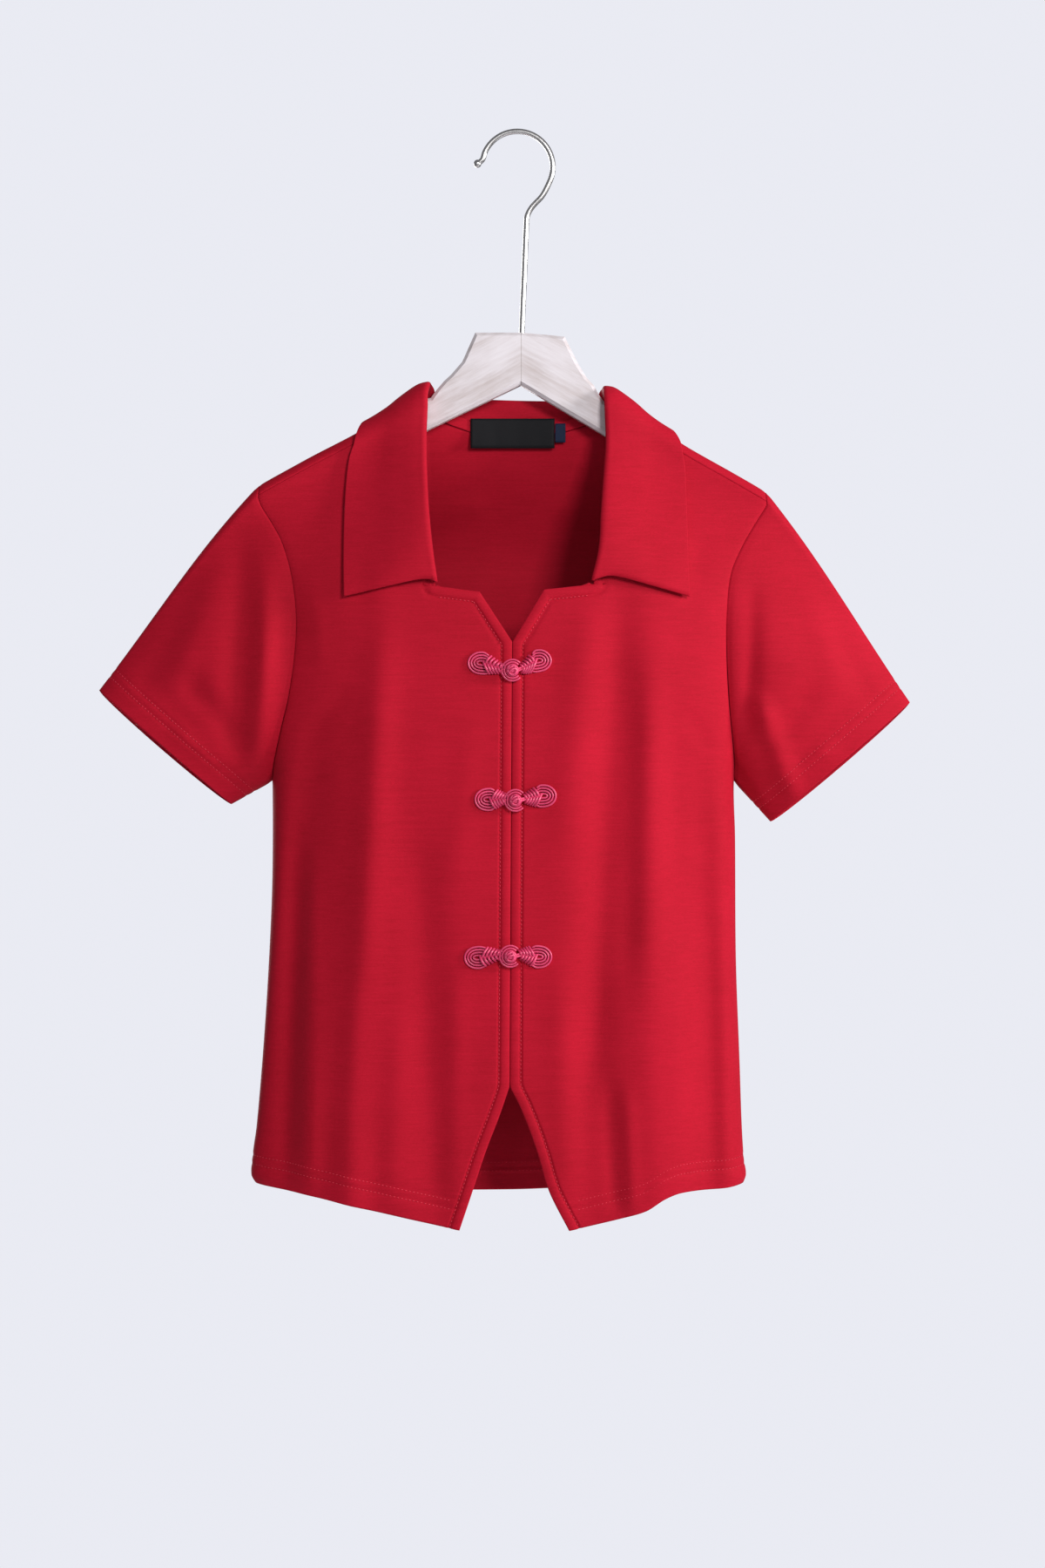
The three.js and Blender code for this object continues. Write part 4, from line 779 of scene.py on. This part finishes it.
def sleeve(name, side, front, front_n):
    column = 0 if side["sign"] < 0 else -1
    start = int(np.argmax(front[:, -1, 2] >= ARMPIT_Z - 0.3))
    behind, behind_n = back[start + 1:, column][::-1], back_normals[start + 1:, column][::-1]
    armpit = front[start, -1].copy()
    armpit[1] = 0
    loop = np.concatenate([behind, armpit[None], front[start + 1:, -1]])
    loop_n = np.concatenate([behind_n, front_n[start, -1][None], front_n[start + 1:, -1]])
    share, face = round_armhole(loop, len(ROLL_ANGLES) - 1 - ROLL_ANGLES.index(0), len(behind))
    tip, inner = np.array(side["cuff_tip"], float), np.array(side["cuff_inner"], float)
    shoulder = np.array([side["shoulder_x"], float(ridge_z(np.array(side["shoulder_x"])))])
    way = (tip - shoulder) / np.linalg.norm(tip - shoulder)
    turn = np.pi * share
    across = (1 - np.cos(turn)) / 2
    end = points(mix(tip[0], inner[0], across), face * side["cuff_half"] * np.sin(turn),
                 mix(tip[1], inner[1], across))
    longer = np.where(face > 0, 4 * np.sin(turn), 0)
    end[:, 0] += way[0] * longer
    end[:, 2] += way[1] * longer
    begin = loop.copy()
    begin[:, 0] += side["sign"] * (SEAM_GAP + 0.08)
    t = RINGS[:, None]
    grid = mix(begin[None], end[None], t[..., None])
    bulge = np.sin(np.pi * np.minimum(t * 1.25, 1)) * np.sin(turn)
    grid[..., 1] += face * 5 * bulge
    x, z = grid[..., 0].copy(), grid[..., 2].copy()
    soft = smooth(t * 4) * np.sin(turn)
    folds = np.where(face < 0, fold_height("sleeve", x, z), 0) + crease_height("sleeve", x, z)
    grid[..., 1] += face * folds * soft
    grid[..., 2] += side["head_lift"] * np.maximum(0, np.cos(turn)) * np.sin(np.pi * t) * (1 - t) * 1.6
    middle_x = mix((shoulder[0] + armpit[0]) / 2, (tip[0] + inner[0]) / 2, t)
    middle_z = mix((shoulder[1] + armpit[2]) / 2, (tip[1] + inner[1]) / 2, t)
    towards = np.stack([grid[..., 0] - middle_x, grid[..., 1] * 4, grid[..., 2] - middle_z], -1)
    normals = grid_normals(grid, towards, loop=True)
    lengths = np.linalg.norm(end - begin, axis=1)
    relief = sum(groove((1 - t) * lengths - row, 0.35, 1.0) for row in CUFF_ROWS)
    relief = relief + 0.5 * smooth(t * lengths / 6)
    grid = grid + normals * relief[..., None]
    normals = grid_normals(grid, towards, loop=True)
    agree = smooth(((loop_n * normals[0]).sum(-1, keepdims=True) - 0.2) / 0.5)
    normals[0] = unit(mix(normals[0], loop_n, agree))
    tube = cloth_object(name + "_cloth", grid, normals, CLOTH, red_knit, loop=True)
    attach(tube, "root")
    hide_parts(name)

    def at_row(table, at):
        return np.array([[np.interp(here, RINGS, table[:, i, k]) for k in range(3)]
                         for i, here in enumerate(at)])

    threads = []
    for row in CUFF_ROWS:
        line, out = at_row(grid, 1 - row / lengths), at_row(normals, 1 - row / lengths)
        threads.append((np.concatenate([line, line[:1]]), np.concatenate([out, out[:1]])))
    stitched(name + "_stitching", threads, red_thread)


sleeve("sleeve_left", LEFT, front_left, front_left_normals)
sleeve("sleeve_right", RIGHT, front_right, front_right_normals)

# Collar: a wide shirt collar of two layers of the knit, sewn to the neck edge. It stands up, rolls
# over and falls on the shoulders, with square leaves in front and turned edges.

COLLAR = 2.2
SHOULDER_ROWS = [(0, 0, 0, 7.4, 0, 0, 3.2), (9, 2.5, 5, 7.4, 3.5, 16, 3.2)]
BACK_ROWS = [(0.9, 7, 0.86, 92, 36), (0.7, 6.8, 0.66, 76, 52), (0.38, 6.6, 0.36, 43, 62)]


def over_body(x, along, out):
    """A point off the body's surface, by its distance over the cloth from the ridge."""
    x, along, out = np.broadcast_arrays(x, along, out)
    quarter = ROLL * math.pi / 2
    angle = np.degrees(np.clip(along, -quarter, quarter) / ROLL)
    rolled = roll_point(x, angle) + roll_normal(x, angle) * out[..., None]
    z = ridge_z(x) - ROLL - np.maximum(np.abs(along) - quarter, 0)
    y = np.where(along < 0, front_y(x, z) - out, back_y(x, z) + out)
    return np.where((np.abs(along) <= quarter)[..., None], rolled, points(x, y, z))


def along_front(x, z):
    x = np.asarray(x, float)
    return -float(ridge_z(x) - z - ROLL + ROLL * math.pi / 2)


def collar_stations():
    """Seam x and distance, roll x, distance and height, edge x, distance and height."""

    def in_front(side, row):
        roll_z, edge_x, edge_z, roll_out, edge_out = row
        roll_x = float(side["neck_x"](roll_z)) + side["sign"] * COLLAR / 2
        panel_x = roll_x + side["sign"] * (NECK_SEAM - COLLAR / 2)
        return (panel_x - side["sign"] * (SEAM_GAP + COLLAR / 2), along_front(panel_x, roll_z), roll_x,
                along_front(roll_x, roll_z), roll_out, edge_x, along_front(edge_x, edge_z), edge_out)

    def on_shoulder(side, row):
        seam_along, roll_in, roll_along, roll_out, edge_in, edge_along, edge_out = row
        sign = side["sign"]
        neck = NECK_ENDS[0] if sign < 0 else NECK_ENDS[1]
        roll_x, edge_x = side["collar_ridge"]
        return (neck - sign * (SEAM_GAP + COLLAR / 2 + 0.1), seam_along, roll_x - sign * roll_in, roll_along,
                roll_out, edge_x - sign * edge_in, edge_along, edge_out)

    def behind(sign, row):
        share, roll_out, roll_share, edge_x, edge_along = row
        neck = NECK_ENDS[0] if sign < 0 else NECK_ENDS[1]
        x = neck * share
        seam_z = float(back_neck_z(np.array(x))) + SEAM_GAP + 0.2
        return (x, -along_front(x, seam_z), neck * roll_share, 9.5, roll_out, sign * edge_x, edge_along, 3)

    def half(side):
        return ([in_front(side, row) for row in side["collar"]]
                + [on_shoulder(side, row) for row in SHOULDER_ROWS]
                + [behind(side["sign"], row) for row in BACK_ROWS])

    return half(LEFT) + [behind(1, (0, 6.4, 0, 0, 66))] + half(RIGHT)[::-1]


def collar():
    stations = collar_stations()
    places = np.linspace(0, len(stations) - 1, 6 * (len(stations) - 1) + 1)
    seam_x, seam_along, roll_x, roll_along, roll_out, edge_x, edge_along, edge_out = (
        curve(*enumerate(column))(places) for column in zip(*stations))

    def fall(t, extra=0.0):
        return over_body(mix(roll_x, edge_x, t), mix(roll_along, edge_along, t),
                         mix(roll_out, edge_out, smooth(t * 1.2)) + extra)

    seam, top = over_body(seam_x, seam_along, 0), fall(0)
    outside = unit(fall(0.1) - top)
    section = [seam, mix(seam, top, 0.4), mix(seam, top, 0.8), top + outside * 1.3, fall(0.075, 0.2),
               fall(0.2, 0.5), fall(0.4, 0.5), fall(0.6), fall(0.8), fall(1)]
    finer = np.concatenate([np.linspace(0, 4, 21), np.linspace(4, 8.8, 20)[1:],
                            np.linspace(8.8, 9, 5)[1:]])
    grid = np.empty((len(places), len(finer), 3))
    for r in range(len(places)):
        for k in range(3):
            grid[r, :, k] = curve(*((i, line[r, k]) for i, line in enumerate(section)))(finer)
    normals = unit(np.cross(np.gradient(grid, axis=1), np.gradient(grid, axis=0)))
    outer = grid + normals * COLLAR / 2
    wave = np.sin(places * 1.9)[:, None] * 0.35 * smooth((finer - 5) / 3)[None]
    outer = outer + normals * wave[..., None]
    leaf = cloth_object("collar_cloth", outer, normals, COLLAR, red_knit)
    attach(leaf, "root")
    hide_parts("collar")


collar()

# Neck tape, label and size tab: a strip of the knit over the back neck seam, with a woven label and
# a small tab sewn to it. Label and tab are bare.


def inside_neck(name, node, centre, width, low, high, layer, wall, material,
                follow=False):
    """A strip that lies on the inside of the back, from `low` to `high` under the neck."""
    x = np.linspace(centre - width / 2, centre + width / 2, 33)[None]
    rise = back_neck_z(x) - BACK_NECK_Z
    z = np.linspace(low, high, 9)[:, None] + (rise if follow else 0 * rise)
    y = back_y(x, BACK_NECK_Z + rise) - CLOTH - layer + 0 * z
    sag = 0.18 * np.sin(x * 0.21 + centre) * smooth((high - z) / (high - low))
    grid = points(x + 0 * z, y - np.abs(sag), z)
    normals = grid_normals(grid, np.array([0, 1, 0]))
    piece = cloth_object(name, grid, normals, wall, material)
    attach(piece, "root")
    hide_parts(node)


def woven_material(name, dark, light, gloss):
    """Woven satin ribbon: fine crosswise ribs with a low lustre."""
    material, shader, place = new_material(name)
    ribs = place.scaled(1, 1, 8).noise(700, 2, 0.6)
    feed(shader, "Base Color", ribs.between(dark, light))
    feed(shader, "Roughness", ribs * 0.2 + gloss)
    feed(shader, "Normal", ribs.bump(0.3, 0.0002))
    shader.inputs["Specular IOR Level"].default_value = 0.14
    return material


black_satin = woven_material("black_satin", (0.003, 0.003, 0.004, 1), (0.011, 0.011, 0.013, 1), 0.5)
navy_satin = woven_material("navy_satin", (0.005, 0.01, 0.028, 1), (0.014, 0.024, 0.06, 1), 0.5)
inside_neck("neck_tape_cloth", "neck_tape", centre=0, width=104, low=-206.6, high=-199, layer=0.35,
            wall=0.6, material=red_knit, follow=True)
inside_neck("label_cloth", "label", centre=-3.3, width=58, low=-215.5, high=-195, layer=1.3,
            wall=0.7, material=black_satin)
inside_neck("size_tab_cloth", "size_tab", centre=29.8, width=7, low=-211.5, high=-198.5, layer=1.3,
            wall=0.7, material=navy_satin)

# Hanger: a flat board of whitewashed wood, sawn with a neck and two arms and bevelled, glued from two
# halves. A satin steel wire hook with a long stem is set in its top.

JOINT_X, JOINT_HALF = 0.0027, 0.00022


def wood_material():
    material, shader, place = new_material("whitewashed_wood")
    side = (place.part("X") - JOINT_X).size()
    grain_place = place.node("ShaderNodeCombineXYZ", {"X": side * 0.89 - place.part("Z") * 0.46,
                                                      "Y": place.part("Y"),
                                                      "Z": side * 0.46 + place.part("Z") * 0.89})
    grain = grain_place.scaled(0.09, 1, 1).noise(420, 5, 0.62)
    figure = grain_place.scaled(0.05, 0.6, 1).noise(70, 3, 0.5)
    wash = place.noise(26, 3, 0.6)
    shade = grain * 0.55 + figure * 0.5 + wash * 0.3 - 0.2
    board = shade.ramp((0.25, (0.5, 0.43, 0.42, 1)), (0.48, (0.68, 0.63, 0.65, 1)),
                       (0.8, (0.8, 0.77, 0.8, 1)))
    joint = side.below(JOINT_HALF) * 0.55
    feed(shader, "Base Color", joint.between(board, (0.22, 0.17, 0.15, 1)))
    feed(shader, "Roughness", grain * 0.2 + 0.42)
    relief = grain * 0.7 + figure * 0.3 - joint * 2
    feed(shader, "Normal", relief.bump(0.25, 0.0004))
    return material


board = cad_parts["hanger_board"]
board.data.materials.clear()
board.data.materials.append(wood_material())


def steel_material():
    material, shader, place = new_material("satin_steel")
    drawn = place.scaled(1, 1, 0.2).noise(900, 3, 0.6)
    feed(shader, "Roughness", drawn * 0.18 + 0.2)
    feed(shader, "Base Color", drawn.between((0.5, 0.49, 0.48, 1), (0.68, 0.665, 0.65, 1)))
    shader.inputs["Metallic"].default_value = 1
    return material


def swept(path, radius, sides, ends=3):
    """A round bar along a line of points, with rounded ends."""
    path = np.asarray(path, float)
    way = unit(np.gradient(path, axis=0))
    side = np.cross(way[0], (0.0, 1.0, 0.0))
    if np.linalg.norm(side) < 0.2:
        side = np.cross(way[0], (0.0, 0.0, 1.0))
    side = side / np.linalg.norm(side)
    turn = np.linspace(0, 2 * np.pi, sides, endpoint=False)
    rings = []

    def ring(centre, across, ahead, size):
        up = np.cross(ahead, across)
        return centre + size * (np.cos(turn)[:, None] * across + np.sin(turn)[:, None] * up)

    caps = [math.radians(90 * k / ends) for k in range(1, ends)]
    for a in caps:
        rings.append(ring(path[0] - way[0] * radius * math.cos(a), side, way[0], radius * math.sin(a)))
    for i in range(len(path)):
        side = side - np.dot(side, way[i]) * way[i]
        side = side / np.linalg.norm(side)
        rings.append(ring(path[i], side, way[i], radius))
    for a in caps[::-1]:
        rings.append(ring(path[-1] + way[-1] * radius * math.cos(a), side, way[-1], radius * math.sin(a)))
    tips = np.stack([path[0] - way[0] * radius, path[-1] + way[-1] * radius])
    vertices = np.concatenate(rings + [tips])
    count, faces = len(rings), []
    for r in range(count - 1):
        for k in range(sides):
            n = (k + 1) % sides
            faces.append((r * sides + k, r * sides + n, (r + 1) * sides + n, (r + 1) * sides + k))
    first, last = count * sides, count * sides + 1
    for k in range(sides):
        n = (k + 1) % sides
        faces.append((first, n, k))
        faces.append((last, (count - 1) * sides + k, (count - 1) * sides + n))
    return vertices, faces


def joined(parts):
    vertices, faces, count = [], [], 0
    for some, these in parts:
        vertices.append(some)
        faces += [tuple(v + count for v in face) for face in these]
        count += len(some)
    return np.concatenate(vertices), faces


def through(path, steps):
    """A smooth line through given points."""
    path = np.asarray(path, float)
    place = np.concatenate([[0], np.cumsum(np.linalg.norm(np.diff(path, axis=0), axis=1))])
    at = np.linspace(0, place[-1], steps)
    return np.stack([curve(*zip(place, path[:, k]))(at) for k in range(3)], 1)


HOOK_RADIUS, HOOK_CENTRE_Z, WIRE = 24.5, -22.6, 3.8
BALL_X, BALL_Z, BALL_RADIUS = -27.4, -20.4, 2.6
hook_points = [(BALL_X, 0, BALL_Z)]
for degrees in range(-78, 115, 12):
    a = math.radians(degrees)
    hook_points.append((HOOK_RADIUS * math.sin(a), 0, HOOK_CENTRE_Z + HOOK_RADIUS * math.cos(a)))
hook_points += [(17.3, 0, -42.4), (9.9, 0, -50.6), (6.8, 0, -56.6), (6.3, 0, -62), (4.7, 0, -100),
                (3.2, 0, -136), (3.2, 0, -148.8)]
hook = mesh_object("hook_wire", *joined([
    swept(through(hook_points, 170), WIRE / 2, 20),
    swept([(BALL_X - 0.01, 0, BALL_Z - 0.2), (BALL_X + 0.01, 0, BALL_Z + 0.2)], BALL_RADIUS, 20, ends=8),
]), steel_material())
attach(hook, "root")
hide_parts("hanger_hook")

# Frog fasteners: three pairs of pink satin rat-tail cord. Each half is a flat loop of nested strands,
# plaited towards the opening, and ends in a wound ball knot or in the loop that holds it.

FROGS = [("upper", (-3.2, -371), (-24.6, -366), (14.5, -364.4)),
         ("middle", (-1.2, -458.6), (-20, -458), (17.8, -455.6)),
         ("lower", (-4.6, -563.5), (-27, -564.5), (14.8, -564))]
STRAND = 0.68
BRAID = 0.86
KNOT = 4.5
PLAITS = 5
LOOPS = [(7.1, 8.2), (5.2, 6.3), (3.3, 4.4), (1.4, 2.5)]


def satin_material():
    material, shader, place = new_material("pink_satin")
    fibre = place.noise(1700, 2, 0.6)
    tone = place.noise(160, 2, 0.5)
    shade = fibre * 0.45 + tone * 0.6 - 0.05
    feed(shader, "Base Color", shade.between((0.42, 0.014, 0.065, 1), (0.92, 0.075, 0.21, 1)))
    feed(shader, "Roughness", fibre * 0.2 + 0.26)
    feed(shader, "Normal", fibre.bump(0.2, 0.0002))
    shader.inputs["Specular IOR Level"].default_value = 0.6
    return material


pink_satin = satin_material()


def on_front(x, z, out):
    x, z = np.asarray(x, float), np.asarray(z, float)
    return points(x, front_y(x, z) - SEAM_GAP - out, z)


def ball_knot(centre):
    """Cord wound on a ball in three directions, three turns in each, round a solid core."""
    parts = []
    ball = KNOT - STRAND
    turn = np.linspace(0, 2 * math.pi, 29)
    for tilt, lean in ((25, 10), (85, 40), (150, -35)):
        turned = np.array((Matrix.Rotation(math.radians(tilt), 3, "Y")
                           @ Matrix.Rotation(math.radians(70 + lean), 3, "X")))
        for lift in (-1.9, 0, 1.9):
            ring = math.sqrt(ball**2 - lift**2)
            circle = np.stack([ring * np.cos(turn), ring * np.sin(turn), lift + 0 * turn], 1)
            parts.append(swept(circle @ turned.T + centre, STRAND, 8))
    parts.append(swept([centre + (-0.05, 0, 0), centre + (0.05, 0, 0)], KNOT - 1.4, 16, ends=6))
    return parts


def loop_round_knot(centre):
    """Two open rings of cord that lie round the knot."""
    parts = []
    turn = np.radians(np.linspace(48, 312, 23))
    for size, sink in ((0.9, 0.4), (2.6, 1.6)):
        ring = KNOT + size
        circle = np.stack([centre[0] + ring * np.cos(turn), centre[1] + sink + 0 * turn,
                           centre[2] + ring * np.sin(turn)], 1)
        parts.append(swept(circle, STRAND, 8))
    return parts


def frog_half(name, knot, loop_centre, sign):
    towards = -sign
    length = abs(knot[0] - towards * KNOT - loop_centre[0])

    def place(along, across, out):
        along, across = np.asarray(along, float), np.asarray(across, float)
        t = np.clip(along / length, 0, 1)
        return on_front(loop_centre[0] + towards * along,
                        mix(loop_centre[1], knot[1] + 1, smooth(t)) + across, out)

    parts = []
    for half, reach in LOOPS:
        turn = np.radians(np.linspace(80, -80, 9))
        along = np.concatenate([[length * 0.3, 2.4], -reach * np.cos(turn), [2.4, length * 0.3]])
        across = np.concatenate([[half * 0.85, half], half * np.sin(turn), [-half, -half * 0.85]])
        parts.append(swept(through(place(along, across, STRAND), 40), STRAND, 8))
    for k in range(PLAITS):
        t = k / (PLAITS - 1)
        spread, start, slant = mix(6.0, 2.9, t), mix(0.1, 0.66, t) * length, mix(4.2, 2.8, t)
        for across in (-1, 1):
            begin = start + (across > 0) * 1.2
            line = place([begin, begin + slant * 0.45, begin + slant],
                         [-across * 1.3, across * spread * 0.5, across * spread],
                         [BRAID * 1.4, BRAID * 4.4, BRAID * 1.1])
            parts.append(swept(through(line, 9), BRAID, 8))
    centre = on_front(knot[0], knot[1], KNOT + 0.4)
    if sign > 0:
        parts += ball_knot(centre)
        for shift in (-0.7, 0.7):
            line = np.stack([place(length * 0.62, shift, 1.8), place(length * 0.85, shift, 2.8),
                             centre + (3, 0.4, shift)])
            parts.append(swept(through(line, 8), STRAND * 1.1, 8))
    else:
        parts += loop_round_knot(centre)
        for shift in (-1.7, 0, 1.7):
            line = np.stack([place(length * 0.6, shift, 1.6), place(length * 0.85, shift * 1.8, 2.4),
                             centre + (-KNOT - 1.2, 1.2, shift * 1.9)])
            parts.append(swept(through(line, 8), STRAND, 8))
    frog = mesh_object(name + "_cord", *joined(parts), pink_satin)
    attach(frog, "root")
    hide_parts(name)


for frog_name, frog_knot, left_loop, right_loop in FROGS:
    frog_half("frog_" + frog_name + "_left", frog_knot, left_loop, -1)
    frog_half("frog_" + frog_name + "_right", frog_knot, right_loop, 1)
